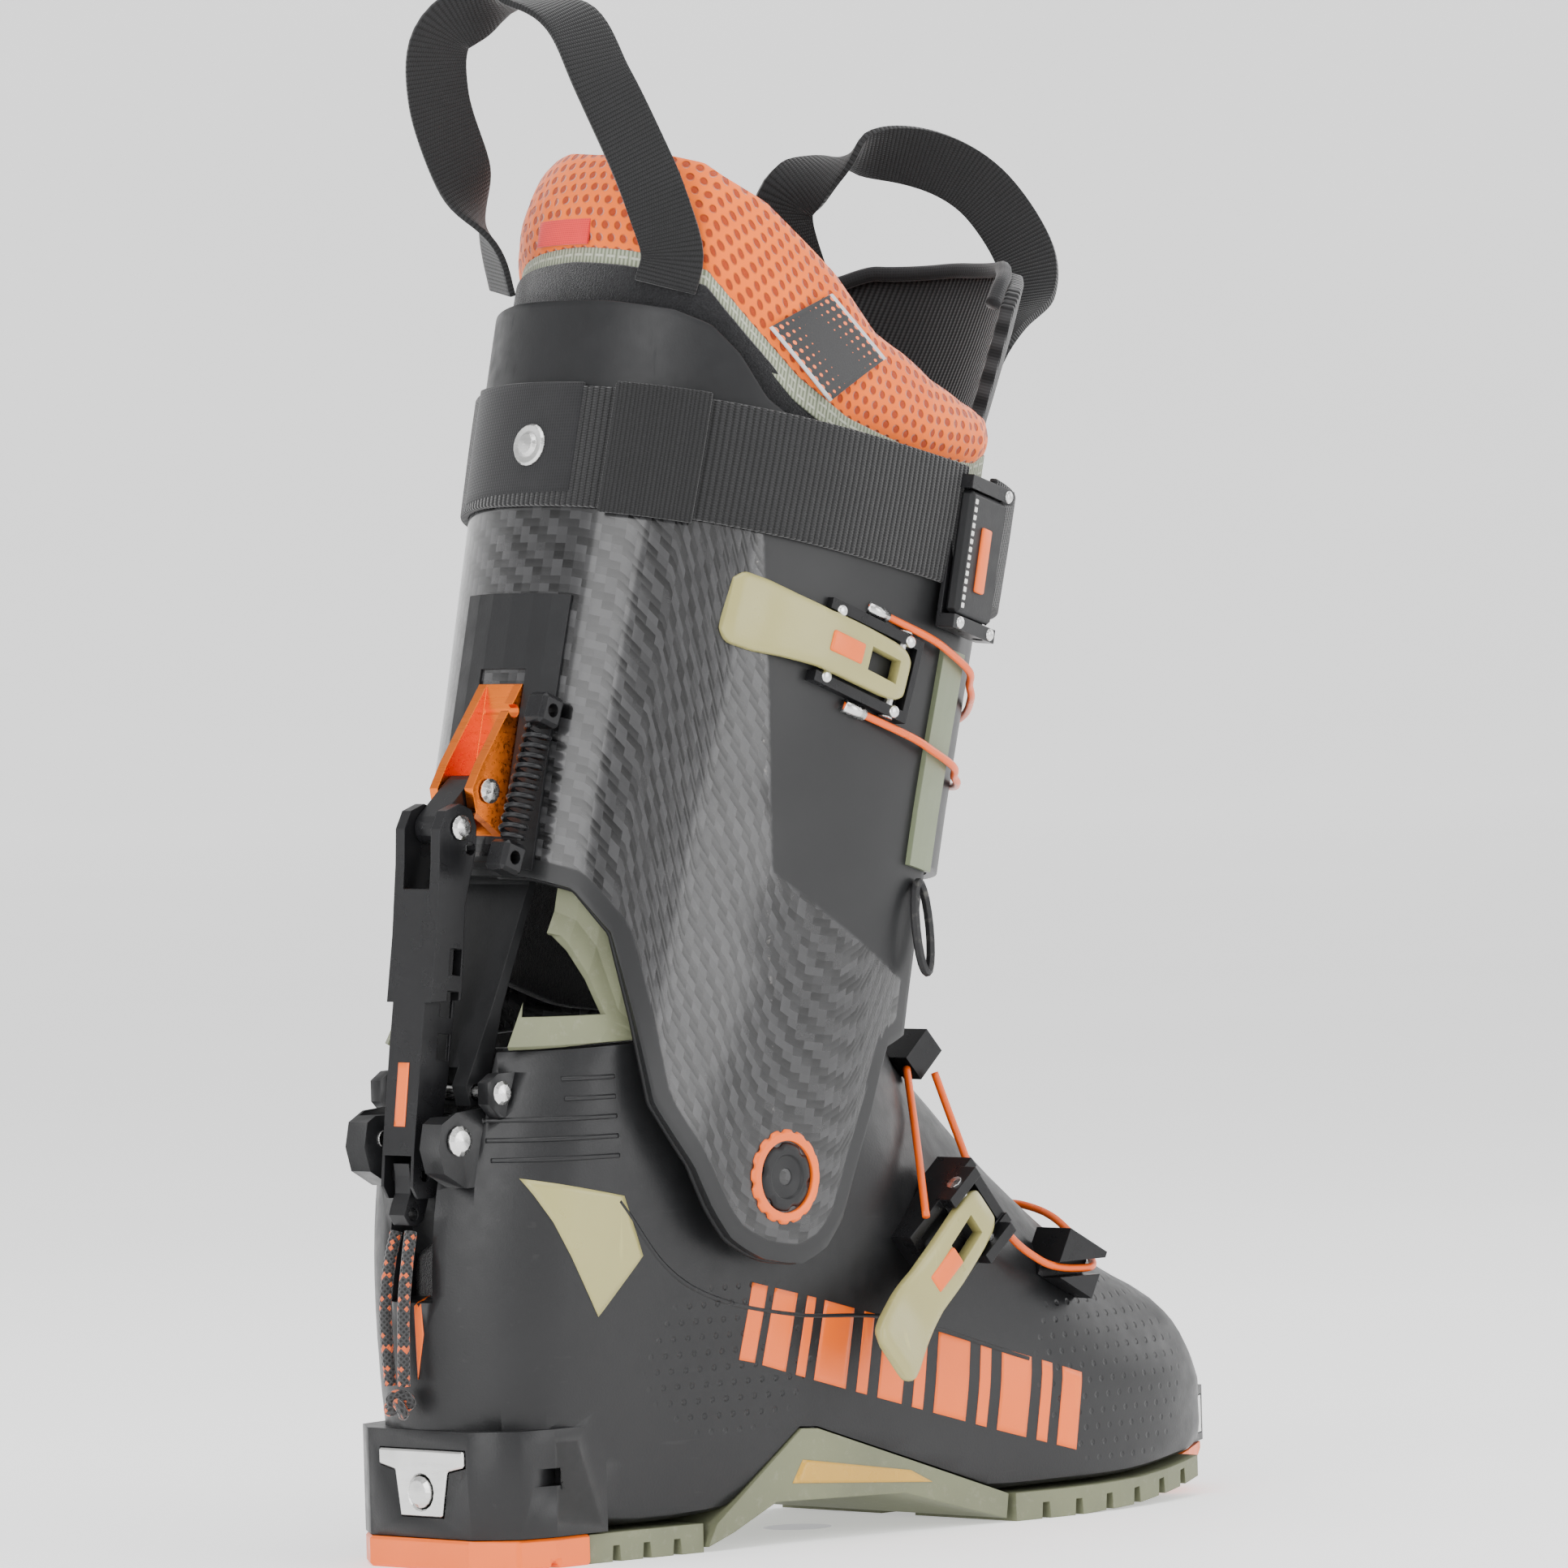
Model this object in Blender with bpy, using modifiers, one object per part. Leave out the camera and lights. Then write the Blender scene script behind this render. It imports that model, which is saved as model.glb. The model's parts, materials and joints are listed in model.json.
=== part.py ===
"""Alpine touring ski boot, right foot, ski mode: shell, cuff, walk lever, buckles, strap and liner.

Working frame, in millimetres: X forward to the toe with 0 at the heel's rear face, Y to the
medial side (the buckles are on -Y), Z up from the ground.  Every object is shifted by OFFSET,
so that the boot's box is centred on the world's Z axis.
"""
import math

import bmesh
import bpy
import numpy as np
from mathutils import Matrix, Vector

MM = 0.001

# ---- driving dimensions (mm, degrees) --------------------------------------------------------
SOLE_LENGTH = 302.0          # heel's rear face to the toe lip
PIVOT = (94.0, 0.0, 107.0)   # ankle axis of the cuff
LEAN = 13.5                  # forward lean of the shaft, degrees
CUFF_A, CUFF_UC = 79.5, -2.5  # half length of the shaft's section and its centre along u
CUFF_WALL = 3.0
SHELL_WALL = 4.0
LATERAL_EDGE = -61.0         # angle of the lateral flap's front edge
FLAP_END = -436.0            # angle where the medial flap ends under the lateral one
STRAP_W, STRAP_H, STRAP_T = 196.0, 35.0, 2.6
HEEL_BLOCK_TOP = 39.5
SOLE_T = 8.7                 # rubber under the heel block
PIN_A = (26.0, 220.0)        # link to orange bracket (x, z)
PIN_B = (14.4, 210.0)        # lever to link
ANCHOR = (0.6, 122.0)        # the shell's anchor pins, which the lever hooks on
LATCH_PIN = (-0.5, 112.0)
PLATE_PIN = (13.0, 135.0)
SPRING_Y = -22.0
GAP = 0.35
OFFSET = (-147.5, 2.2466, 0.0)

bpy.context.preferences.edit.use_global_undo = False
for o in list(bpy.data.objects):
    bpy.data.objects.remove(o, do_unlink=True)

boot = bpy.data.collections.new("touring_boot")
cutters = bpy.data.collections.new("touring_boot_cutters")
for col in (boot, cutters):
    bpy.context.scene.collection.children.link(col)

# ---- materials -------------------------------------------------------------------------------
COLOURS = {
    "shell_black": ((0.018, 0.018, 0.02, 1), 0.42, 0.0),
    "cuff_carbon": ((0.022, 0.022, 0.024, 1), 0.25, 0.0),
    "plastic_black": ((0.014, 0.014, 0.015, 1), 0.5, 0.0),
    "rubber_black": ((0.02, 0.02, 0.02, 1), 0.75, 0.0),
    "metal_black": ((0.02, 0.02, 0.02, 1), 0.35, 0.6),
    "orange_plastic": ((0.86, 0.14, 0.01, 1), 0.4, 0.0),
    "orange_metal": ((0.85, 0.2, 0.02, 1), 0.28, 0.9),
    "olive_rubber": ((0.2, 0.2, 0.14, 1), 0.7, 0.0),
    "khaki": ((0.42, 0.38, 0.2, 1), 0.4, 0.0),
    "steel": ((0.6, 0.6, 0.6, 1), 0.25, 1.0),
    "webbing": ((0.02, 0.02, 0.02, 1), 0.85, 0.0),
    "liner_black": ((0.012, 0.012, 0.012, 1), 0.95, 0.0),
    "liner_orange": ((0.85, 0.15, 0.02, 1), 0.85, 0.0),
    "cable_orange": ((0.8, 0.1, 0.01, 1), 0.45, 0.0),
    "cord": ((0.05, 0.03, 0.02, 1), 0.8, 0.0),
    "amber": ((0.5, 0.3, 0.02, 1), 0.4, 0.0),
}
MATS = {}


def material(key, name):
    """A Principled material of the sub-part's own, with the family's colour."""
    col, rough, metal = COLOURS[key]
    m = bpy.data.materials.new(name + "_mat")
    m.use_nodes = True
    b = m.node_tree.nodes["Principled BSDF"]
    b.inputs["Base Color"].default_value = col
    b.inputs["Roughness"].default_value = rough
    b.inputs["Metallic"].default_value = metal
    m.diffuse_color = col
    return m


# ---- frames ----------------------------------------------------------------------------------
_l = math.radians(LEAN)
F = np.array([math.cos(_l), 0.0, -math.sin(_l)])     # local u: forward, square to the shaft
S = np.array([math.sin(_l), 0.0, math.cos(_l)])      # local w: up the shaft
YAX = np.array([0.0, 1.0, 0.0])
P0 = np.array(PIVOT)


def L2W(u, y, w):
    """Shaft coordinates (u, y, w) to the working frame."""
    return P0 + F * u + YAX * y + S * w


def frame(ex, ey, ez):
    """Rotation matrix with these columns."""
    return Matrix((ex, ey, ez)).transposed()


SHAFT = frame(F, YAX, S)


# ---- objects ---------------------------------------------------------------------------------
def link(me, name, mat, origin, smooth=None, cutter=False):
    """Object of mesh `me`, whose points are in mm in the working frame, with its origin there."""
    org = Vector(origin)
    me.transform(Matrix.Scale(MM, 4) @ Matrix.Translation(-org))
    ob = bpy.data.objects.new(name, me)
    ob.location = (org + Vector(OFFSET)) * MM
    if cutter:
        cutters.objects.link(ob)
        ob.hide_render = True
        ob.display_type = "WIRE"
    else:
        boot.objects.link(ob)
        me.materials.append(material(mat, name))
    if smooth:
        me.shade_smooth()
        me.set_sharp_from_angle(angle=math.radians(smooth))
    return ob


def finish(bm, name, mat=None, origin=(0, 0, 0), smooth=None, cutter=False):
    bmesh.ops.remove_doubles(bm, verts=bm.verts, dist=1e-4)
    bmesh.ops.recalc_face_normals(bm, faces=bm.faces)
    me = bpy.data.meshes.new(name)
    bm.to_mesh(me)
    bm.free()
    return link(me, name, mat, origin, smooth, cutter)


def box_bm(size, centre, rot=None):
    bm = bmesh.new()
    m = Matrix.Translation(Vector(centre)) @ (rot.to_4x4() if rot else Matrix.Identity(4)) @ Matrix.Diagonal((*size, 1))
    bmesh.ops.create_cube(bm, size=1.0, matrix=m)
    return bm


def bevel_mod(ob, width, segments=1, angle=40):
    b = ob.modifiers.new("Bevel", "BEVEL")
    b.width = width * MM
    b.segments = segments
    b.limit_method = "ANGLE"
    b.angle_limit = math.radians(angle)
    return b


def box(name, size, centre, mat=None, rot=None, origin=(0, 0, 0), bevel=0.0, cutter=False):
    ob = finish(box_bm(size, centre, rot), name, mat, origin, cutter=cutter)
    if bevel:
        bevel_mod(ob, bevel)
    return ob


def cyl(name, r, h, centre, axis=(0, 1, 0), mat=None, seg=20, origin=(0, 0, 0), r2=None, cutter=False):
    bm = bmesh.new()
    q = Vector((0, 0, 1)).rotation_difference(Vector(axis)).to_matrix().to_4x4()
    bmesh.ops.create_cone(bm, cap_ends=True, segments=seg, radius1=r, radius2=r if r2 is None else r2,
                          depth=h, matrix=Matrix.Translation(Vector(centre)) @ q)
    return finish(bm, name, mat, origin, smooth=50, cutter=cutter)


def prism_bm(pts, lo, hi, plane="XZ"):
    """Closed outline `pts` extruded from lo to hi along the third axis."""
    put = {"XZ": lambda a, b, c: (a, c, b), "XY": lambda a, b, c: (a, b, c)}[plane]
    bm = bmesh.new()
    f = bm.faces.new([bm.verts.new(put(a, b, lo)) for a, b in pts])
    ext = bmesh.ops.extrude_face_region(bm, geom=[f])
    vs = [g for g in ext["geom"] if isinstance(g, bmesh.types.BMVert)]
    d = Vector(put(0, 0, hi)) - Vector(put(0, 0, lo))
    bmesh.ops.translate(bm, verts=vs, vec=d)
    return bm


def prism(name, pts, lo, hi, plane="XZ", mat=None, origin=(0, 0, 0), bevel=0.0, cutter=False):
    ob = finish(prism_bm(pts, lo, hi, plane), name, mat, origin, cutter=cutter)
    if bevel:
        bevel_mod(ob, bevel)
    return ob


def loft(name, rings, mat=None, origin=(0, 0, 0), smooth=35, cutter=False, caps=True):
    """Skin through rings of equal point count, closed at both ends."""
    bm = bmesh.new()
    vs = [[bm.verts.new(tuple(float(c) for c in p)) for p in ring] for ring in rings]
    n = len(vs[0])
    for a, b in zip(vs, vs[1:]):
        for i in range(n):
            j = (i + 1) % n
            bm.faces.new((a[i], a[j], b[j], b[i]))
    if caps:
        bm.faces.new(vs[0][::-1])
        bm.faces.new(vs[-1])
    return finish(bm, name, mat, origin, smooth, cutter)


def sheet(name, grid, thick, mat, origin=(0, 0, 0), smooth=40, wrap=False, flip=False):
    """Open surface grid[i][j] with Solidify: `thick` mm towards the inside."""
    bm = bmesh.new()
    vs = [[bm.verts.new(tuple(float(c) for c in p)) for p in row] for row in grid]
    rows = len(vs) if wrap else len(vs) - 1
    for i in range(rows):
        a, b = vs[i], vs[(i + 1) % len(vs)]
        for j in range(len(a) - 1):
            q = (a[j], a[j + 1], b[j + 1], b[j])
            bm.faces.new(q[::-1] if flip else q)
    me = bpy.data.meshes.new(name)
    bm.to_mesh(me)
    bm.free()
    ob = link(me, name, mat, origin, smooth)
    s = ob.modifiers.new("Solidify", "SOLIDIFY")
    s.thickness = thick * MM
    s.offset = -1.0
    s.use_even_offset = True
    return ob


def turned(name, prof, centre, axis, mat, seg=24, origin=None):
    """Profile (radius, height) from top to bottom, turned with a Screw modifier about `axis`."""
    me = bpy.data.meshes.new(name)
    me.from_pydata([(r * MM, 0, h * MM) for r, h in prof], [(i, i + 1) for i in range(len(prof) - 1)], [])
    ob = bpy.data.objects.new(name, me)
    boot.objects.link(ob)
    me.materials.append(material(mat, name))
    ob.rotation_euler = Vector((0, 0, 1)).rotation_difference(Vector(axis)).to_euler()
    ob.location = (Vector(centre) + Vector(OFFSET)) * MM
    sc = ob.modifiers.new("Screw", "SCREW")
    sc.steps = sc.render_steps = seg
    sc.use_merge_vertices = True
    sc.merge_threshold = 1e-6
    sc.use_smooth_shade = False
    return ob


def smooth_path(pts, n, closed=False):
    """Catmull-Rom through `pts`, n points at even arc length."""
    p = np.array(pts, float)
    ext = np.vstack([p[-1], p, p[:2]]) if closed else np.vstack([2 * p[0] - p[1], p, 2 * p[-1] - p[-2]])
    out = []
    for i in range(1, len(ext) - 2):
        for t in np.linspace(0, 1, 24, endpoint=False):
            a, b, c, d = ext[i - 1], ext[i], ext[i + 1], ext[i + 2]
            out.append(0.5 * (2 * b + (c - a) * t + (2 * a - 5 * b + 4 * c - d) * t * t + (3 * b - a - 3 * c + d) * t ** 3))
    out.append(ext[-2])
    out = np.array(out)
    s = np.concatenate([[0], np.cumsum(np.linalg.norm(np.diff(out, axis=0), axis=1))])
    q = np.linspace(0, s[-1], n + 1 if closed else n)
    r = np.stack([np.interp(q, s, out[:, k]) for k in range(3)], axis=1)
    return r[:-1] if closed else r


def tube(name, pts, r, mat, origin=(0, 0, 0), res=2, closed=False):
    """Wire of radius r through `pts`: a POLY curve with a round bevel and filled caps."""
    cu = bpy.data.curves.new(name, "CURVE")
    cu.dimensions = "3D"
    cu.bevel_depth = r * MM
    cu.bevel_resolution = res
    cu.use_fill_caps = not closed
    sp = cu.splines.new("POLY")
    sp.points.add(len(pts) - 1)
    for q, p in zip(sp.points, pts):
        q.co = (*((Vector(p) - Vector(origin)) * MM), 1)
    sp.use_cyclic_u = closed
    sp.use_smooth = True
    cu.materials.append(material(mat, name))
    ob = bpy.data.objects.new(name, cu)
    ob.location = (Vector(origin) + Vector(OFFSET)) * MM
    boot.objects.link(ob)
    return ob


def ribbon(name, pts, widths_dir, width, thick, mat, origin=(0, 0, 0)):
    """Flat webbing: rectangular section along `pts`, its width along widths_dir[i]."""
    rings = []
    p = np.array(pts, float)
    for i in range(len(p)):
        t = p[min(i + 1, len(p) - 1)] - p[max(i - 1, 0)]
        t /= np.linalg.norm(t)
        d = np.array(widths_dir[i], float)
        d -= t * d.dot(t)
        d /= np.linalg.norm(d)
        n = np.cross(t, d)
        h, k = width / 2, thick / 2
        rings.append([p[i] + d * h + n * k, p[i] - d * h + n * k, p[i] - d * h - n * k, p[i] + d * h - n * k])
    return loft(name, rings, mat, origin, smooth=40)


def cut(ob, cutter, op="DIFFERENCE"):
    b = ob.modifiers.new("Bool_" + cutter.name, "BOOLEAN")
    b.operation = op
    b.solver = "EXACT"
    b.object = cutter
    return b


# ---- lower shell's form ----------------------------------------------------------------------
# One line per station, toe to top: the section's lowest point (x, z), its highest point (x, z),
# and the length and power of the rounding at each end.
STATIONS = [
    (293.5, 33, 291.5, 47, 7, 2.2, 7, 2.2),
    (292.5, 20, 288, 56, 8, 2.6, 14, 2.2),
    (285, 13, 280, 64, 6, 3.6, 24, 2.2),
    (266, 11, 262, 72, 6, 4.6, 36, 2.1),
    (241, 9, 240, 85, 6, 5, 50, 2.1),
    (212, 8.7, 216, 106, 6, 5, 70, 2.0),
    (182, 9.0, 198, 124, 6, 5, 82, 1.95),
    (150, 13.0, 187, 135, 6, 5, 80, 1.95),
    (112, 14.0, 181, 141, 6, 5, 70, 2.0),
    (75, 9.5, 179, 144, 7, 4.5, 62, 2.0),
    (38, 9, 178, 146, 9, 3.4, 60, 2.0),
    (12, 12, 177, 148, 20, 2.4, 58, 2.0),
    (3, 27, 177, 149, 27, 2.1, 57, 2.0),
    (-1, 50, 176.5, 150, 30, 2.05, 56, 2.0),
    (-2.6, 77, 176, 151, 31, 2.0, 56, 2.0),
    (-1, 100, 176, 151.5, 31, 2.0, 56, 2.0),
    (4, 122, 175.5, 152, 30, 2.0, 56, 2.0),
    (13, 146, 175, 152.5, 28, 2.0, 56, 2.0),
]
W_X = [0, 20, 40, 75, 112, 150, 190, 215, 240, 265, 285, 296]
W_Z = [8, 40, 75, 107, 150, 190]
W_T = [
    [27, 31, 33.5, 36, 40, 44, 47.5, 49.5, 48, 42.5, 34, 25],
    [29, 33, 36, 38.5, 41, 44, 47.5, 49, 47, 42, 33, 24],
    [30, 36, 40, 43, 43.5, 43, 43.5, 43, 40, 36, 30, 24],
    [30, 37, 42, 45, 45, 42, 38, 34, 30, 28, 26, 24],
    [30, 36, 40, 43, 43, 39, 32, 28, 26, 26, 26, 24],
    [30, 35, 39, 42, 42, 38, 30, 26, 26, 26, 26, 24],
]


def half_width(x, z):
    cols = [np.interp(x, W_X, row) for row in W_T]
    return float(np.interp(z, W_Z, cols))


def shell_ring(st, inset=0.0, heel=0.0, n=(4, 4, 4)):
    bx, bz, tx, tz, rb, pb, rt, pt = st
    b, t = np.array([bx, bz], float), np.array([tx, tz], float)
    length = np.linalg.norm(t - b)
    e = (t - b) / length
    b, t = b + e * (inset + heel), t - e * inset
    length = np.linalg.norm(t - b)
    rt = min(rt, length * 0.6)
    prof = []
    for i in range(n[0]):
        a = math.pi / 2 * i / n[0]
        prof.append((rb * (1 - math.cos(a) ** (2 / pb)), math.sin(a) ** (2 / pb)))
    for i in range(n[1]):
        prof.append((rb + (length - rb - rt) * i / n[1], 1.0))
    for i in range(n[2] + 1):
        a = math.pi / 2 * (1 - i / n[2])
        prof.append((length - rt * (1 - math.cos(a) ** (2 / pt)), math.sin(a) ** (2 / pt)))
    side = []
    for d, g in prof:
        x, z = b + e * d
        side.append((x, max(half_width(x, z) - inset, 1.0) * g, z))
    right = [(x, -y, z) for x, y, z in side]
    left = [(x, y, z) for x, y, z in side[-2:0:-1]]
    return right + left


def shell_rings(inset=0.0, heel=0.0, toe=0.0, n=(4, 4, 4), top=0.0, floor=0.0):
    out = []
    for i, st in enumerate(STATIONS):
        st = list(st)
        if inset and i == 0:
            continue
        st[0] -= toe if i < 3 else toe * max(0, (6 - i)) / 4
        st[2] -= toe if i < 3 else toe * max(0, (6 - i)) / 4
        k = min(max((i - 8) / 6, 0), 1)
        st[1] += floor * (1 - k)
        out.append(shell_ring(st, inset, heel * k, n))
    if top:
        e = np.array([0.12, 0, 1.0])
        out.append([tuple(np.array(p) + e * top) for p in out[-1]])
    return out


def ring_shrunk(ring, d):
    c = np.mean(np.array(ring), axis=0)
    return [tuple(c + (np.array(p) - c) * (1 - d / 60.0)) for p in ring]


# ---- shaft's form ----------------------------------------------------------------------------
def section(th, w, off=0.0):
    """Point of the shaft's outer surface at angle th (0 front, -90 lateral, -180 rear), height w."""
    a = CUFF_A + off
    b = np.interp(w, [-30, 0, 60, 100, 150, 200, 240, 290], [52.5, 52.7, 53, 54, 57, 60, 61, 60]) + off
    p = np.interp(w, [-30, 0, 60, 120, 240], [2.9, 2.8, 2.6, 2.4, 2.3])
    c, s = math.cos(math.radians(th)), math.sin(math.radians(th))
    u = CUFF_UC + a * math.copysign(abs(c) ** (2 / p), c)
    y = b * math.copysign(abs(s) ** (2 / p), s)
    return L2W(u, y, w)


_LAT_BOTTOM = [(-60, 50), (-68.5, 44), (-71, 24), (-73.8, 9.8), (-76.3, -7.4), (-80, -17), (-85, -23), (-90, -24.5),
               (-95, -21), (-99.8, -14), (-106, -3), (-119, 12), (-128, 35), (-138, 58), (-151, 69), (-165, 71), (-180, 71)]
_MED_BOTTOM = [(-360 - t, w) for t, w in _LAT_BOTTOM[::-1]][1:]
_BOTTOM = sorted(_LAT_BOTTOM + _MED_BOTTOM + [(-304, 96), (-320, 100), (-360, 101), (FLAP_END, 101)])


def cuff_bottom(th):
    return float(np.interp(th, [a for a, _ in _BOTTOM], [b for _, b in _BOTTOM]))


def grid(ths, lo, hi, rows, off=0.0):
    """Columns of the shaft's surface at the angles ths, between heights lo(th) and hi(th)."""
    g = []
    for th in ths:
        o = off(th) if callable(off) else off
        g.append([section(th, lo(th) + (hi(th) - lo(th)) * k / rows, o) for k in range(rows + 1)])
    return g


def table(*pairs):
    xs, ys = [a for a, _ in sorted(pairs)], [b for _, b in sorted(pairs)]
    return lambda t: float(np.interp(t, xs, ys))


def both_sides(pairs):
    """Lateral table (-180 to 0) mirrored to the medial side (-360 to -180)."""
    return list(pairs) + [(-360 - a, b) for a, b in pairs if a != -180]


# ==== lower shell =============================================================================
shell = loft("lower_shell", shell_rings(n=(3, 3, 4)), "shell_black")
cavity = loft("cut_cavity", shell_rings(SHELL_WALL, heel=7.0, toe=6.5, top=6.0, n=(3, 2, 3)), cutter=True)
HEEL_PLAN = [(0, -21), (8.5, -32.5), (20, -35), (40, -35), (40, 35), (20, 35), (8.5, 32.5), (0, 21)]
heel_block = prism("add_heel_block", HEEL_PLAN, 9.0, HEEL_BLOCK_TOP, "XY", cutter=True)
TOE_PLAN = [(262, -30), (288, -27.5), (SOLE_LENGTH, -19.5), (SOLE_LENGTH, 19.5), (288, 27.5), (262, 30)]
toe_lip = prism("add_toe_lip", TOE_PLAN, 14.5, 31.0, "XY", cutter=True)
cut(shell, heel_block, "UNION")
cut(shell, toe_lip, "UNION")
# ears that hold the walk lever's anchor pins, and the plate's hinge ears
EAR = [(12, 108), (3, 108.5), (-5, 113), (-7, 120), (-5.5, 127), (0, 130), (14, 131)]
for side, (lo, hi) in (("lateral", (-19.5, -11.5)), ("medial", (11.5, 19.5))):
    cut(shell, prism("add_ear_" + side, EAR, lo, hi, cutter=True), "UNION")
    y0, y1 = (-24.5, -20.3) if side == "lateral" else (20.3, 24.5)
    cut(shell, prism("add_plate_ear_" + side, [(24, 128), (12, 128), (8, 132), (8, 138), (12, 140.5), (26, 141)], y0, y1, cutter=True), "UNION")
cut(shell, cavity)
# channel behind the lever's foot, so that the foot passes when the cuff moves
CHANNEL = [(94 - 86.5 * math.cos(math.radians(a)), 107 + 86.5 * math.sin(math.radians(a))) for a in range(-20, 22, 4)]
cut(shell, prism("cut_channel", CHANNEL + [(-20, 142), (-20, 74)], -8.8, 8.8, cutter=True))
# arch: the insert's seat
ARCH = [(76.5, 1.5), (80, 8), (112, 33), (118, 32.6), (189, 8.4), (188, 1.2), (170, 6), (150, 11.5), (102, 12.5), (86, 5)]


def outline(x0, x1, n, off=0.0, z=8):
    """Plan outline of the sole between x0 and x1."""
    xs = [x0 + (x1 - x0) * i / n for i in range(n + 1)]
    return [(x, -(half_width(x, z) + off)) for x in xs] + [(x, half_width(x, z) + off) for x in reversed(xs)]


arch_cut = prism("cut_arch", [(72, -2), (79.5, 8.6), (111.7, 33.6), (118.2, 33.2), (191, 8.6), (191, -2)], -60, 60, cutter=True)
cut(arch_cut, prism("cut_arch_core", outline(60, 200, 7, -2.6, 20), 14.6, 70, "XY", cutter=True))
cut(shell, arch_cut)
# seat of the heel's steel insert
T_PLAN = [(-19, 34), (16, 34), (16, 29.5), (9.5, 28), (7.5, 15), (-9.5, 15), (-12, 28), (-19, 29.5)]


def t_prism(name, grow, x0, x1, **kw):
    pts = [(y + math.copysign(grow, y + 1.5), z + math.copysign(grow, z - 31)) for y, z in T_PLAN]
    bm = bmesh.new()
    f = bm.faces.new([bm.verts.new((x0, y, z)) for y, z in pts])
    ext = bmesh.ops.extrude_face_region(bm, geom=[f])
    bmesh.ops.translate(bm, verts=[g for g in ext["geom"] if isinstance(g, bmesh.types.BMVert)], vec=(x1 - x0, 0, 0))
    return finish(bm, name, **kw)


cut(shell, t_prism("cut_insert_seat", GAP, -3, 4.5, cutter=True))
cut(shell, box("cut_toe_seat", (12.0, 70, 11.6), (295.0, 0, 22.5), cutter=True))
cut(shell, cyl("cut_pivot_bore", 6.4, 130, PIVOT, cutter=True))
cut(shell, cyl("cut_anchor_bore", 3.0, 41, (ANCHOR[0], 0, ANCHOR[1]), cutter=True, seg=12))
cut(shell, cyl("cut_plate_bore", 2.6, 60, (PLATE_PIN[0], 0, PLATE_PIN[1]), cutter=True, seg=12))
# side slots of the heel block
for side in (-1, 1):
    cut(shell, box("cut_heel_slot_%d" % side, (24, 4, 5), (14, side * 35.5, 26), cutter=True,
                   rot=Matrix.Rotation(side * math.radians(-18), 3, "Z")))

cut(shell, box("cut_rear_notch", (60, 37.0, 42.6), (-4, 0, 150), cutter=True))

grown_shell = loft("cut_grown_shell", shell_rings(-GAP, n=(3, 3, 4)), cutter=True)

# ==== soles ===================================================================================
PAD_PLAN = [(-1, -20.5), (8, -32), (20, -34.5), (33.6, -34.8), (33.6, 34.8), (20, 34.5), (8, 32), (-1, 20.5)]
heel_pad = prism("heel_sole_pad", PAD_PLAN, 0.0, SOLE_T, "XY", "orange_plastic")
for k, y in enumerate((-11, 0, 11)):
    cut(heel_pad, box("cut_heel_pad_groove_%d" % k, (24, 2.4, 4), (20, y, 0), cutter=True))
cut(heel_pad, box("cut_heel_pad_cross", (2.2, 90, 4), (20, 0, 0), cutter=True))
bevel_mod(heel_pad, 0.8)


def comb(x0, x1, pitch, gap, depth, top, bottom):
    """Side outline of a lugged sole: `bottom(x)` under the lugs, `top(x)` above."""
    pts = [(x0, top(x0))]
    x = x0
    n = max(1, round((x1 - x0 + gap) / pitch))
    step = (x1 - x0 + gap) / n
    for i in range(n):
        a, b = x0 + i * step, x0 + i * step + step - gap
        pts += [(a, bottom(a)), (b, bottom(b))]
        if i < n - 1:
            c = b + gap
            pts += [(b + 0.4, bottom(b) + depth), (c - 0.4, bottom(c) + depth)]
    pts.append((x1, top(x1)))
    m = 5
    for i in range(1, m):
        xx = x1 + (x0 - x1) * i / m
        pts.append((xx, top(xx)))
    return pts


heel_lugs = prism("outsole_heel", comb(34.2, 76.0, 10.5, 3.2, 4.6, lambda x: SOLE_T - GAP, lambda x: 0.0), -50, 50,
                  mat="olive_rubber")
cut(heel_lugs, prism("cut_outline_heel", outline(30, 80, 4, 0.5), -5, 20, "XY", cutter=True), "INTERSECT")
cut(heel_lugs, box("cut_heel_centre", (60, 12, 7), (55, 0, 0), cutter=True))

spring_top = table((190, 8.4), (212, 8.35), (241, 8.6), (266, 10.6), (283, 12.3), (290, 13.4), (302, 14.15))
spring_low = table((190, 0.0), (218, 0.0), (242, 1.0), (269, 4.0), (284, 6.2), (298, 10.0), (302, 11.0))
fore = prism("outsole_forefoot", comb(191.6, 281.5, 13.0, 3.4, 4.8, lambda x: spring_top(x) - 0.1, spring_low), -60, 60,
             mat="olive_rubber")
cut(fore, prism("cut_outline_fore", outline(185, 285, 8, 1.2), -5, 30, "XY", cutter=True), "INTERSECT")
cut(fore, box("cut_fore_centre", (110, 14, 9.0), (240, 0, 0), cutter=True))

toe_pts = [(282, spring_top(282) - 0.3), (282, 6.0), (291, 8.0), (298.5, 10.3), (301, 12.0), (301, 14.0), (290, 13.0)]
toe_pad = prism("toe_sole_pad", toe_pts, -31, 31, mat="orange_plastic")
cut(toe_pad, prism("cut_outline_toe", [(276, -32), (288, -27), (301.5, -19), (301.5, 19), (288, 27), (276, 32)], 0, 30, "XY",
                   cutter=True), "INTERSECT")

arch = prism("arch_insert", ARCH, -60, 60, mat="olive_rubber")
cut(arch, prism("cut_outline_arch", outline(70, 195, 6, 1.0, 20), -5, 60, "XY", cutter=True), "INTERSECT")
cut(arch, prism("cut_arch_room", outline(60, 200, 7, -2.2, 20), 14.2, 70, "XY", cutter=True))

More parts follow.
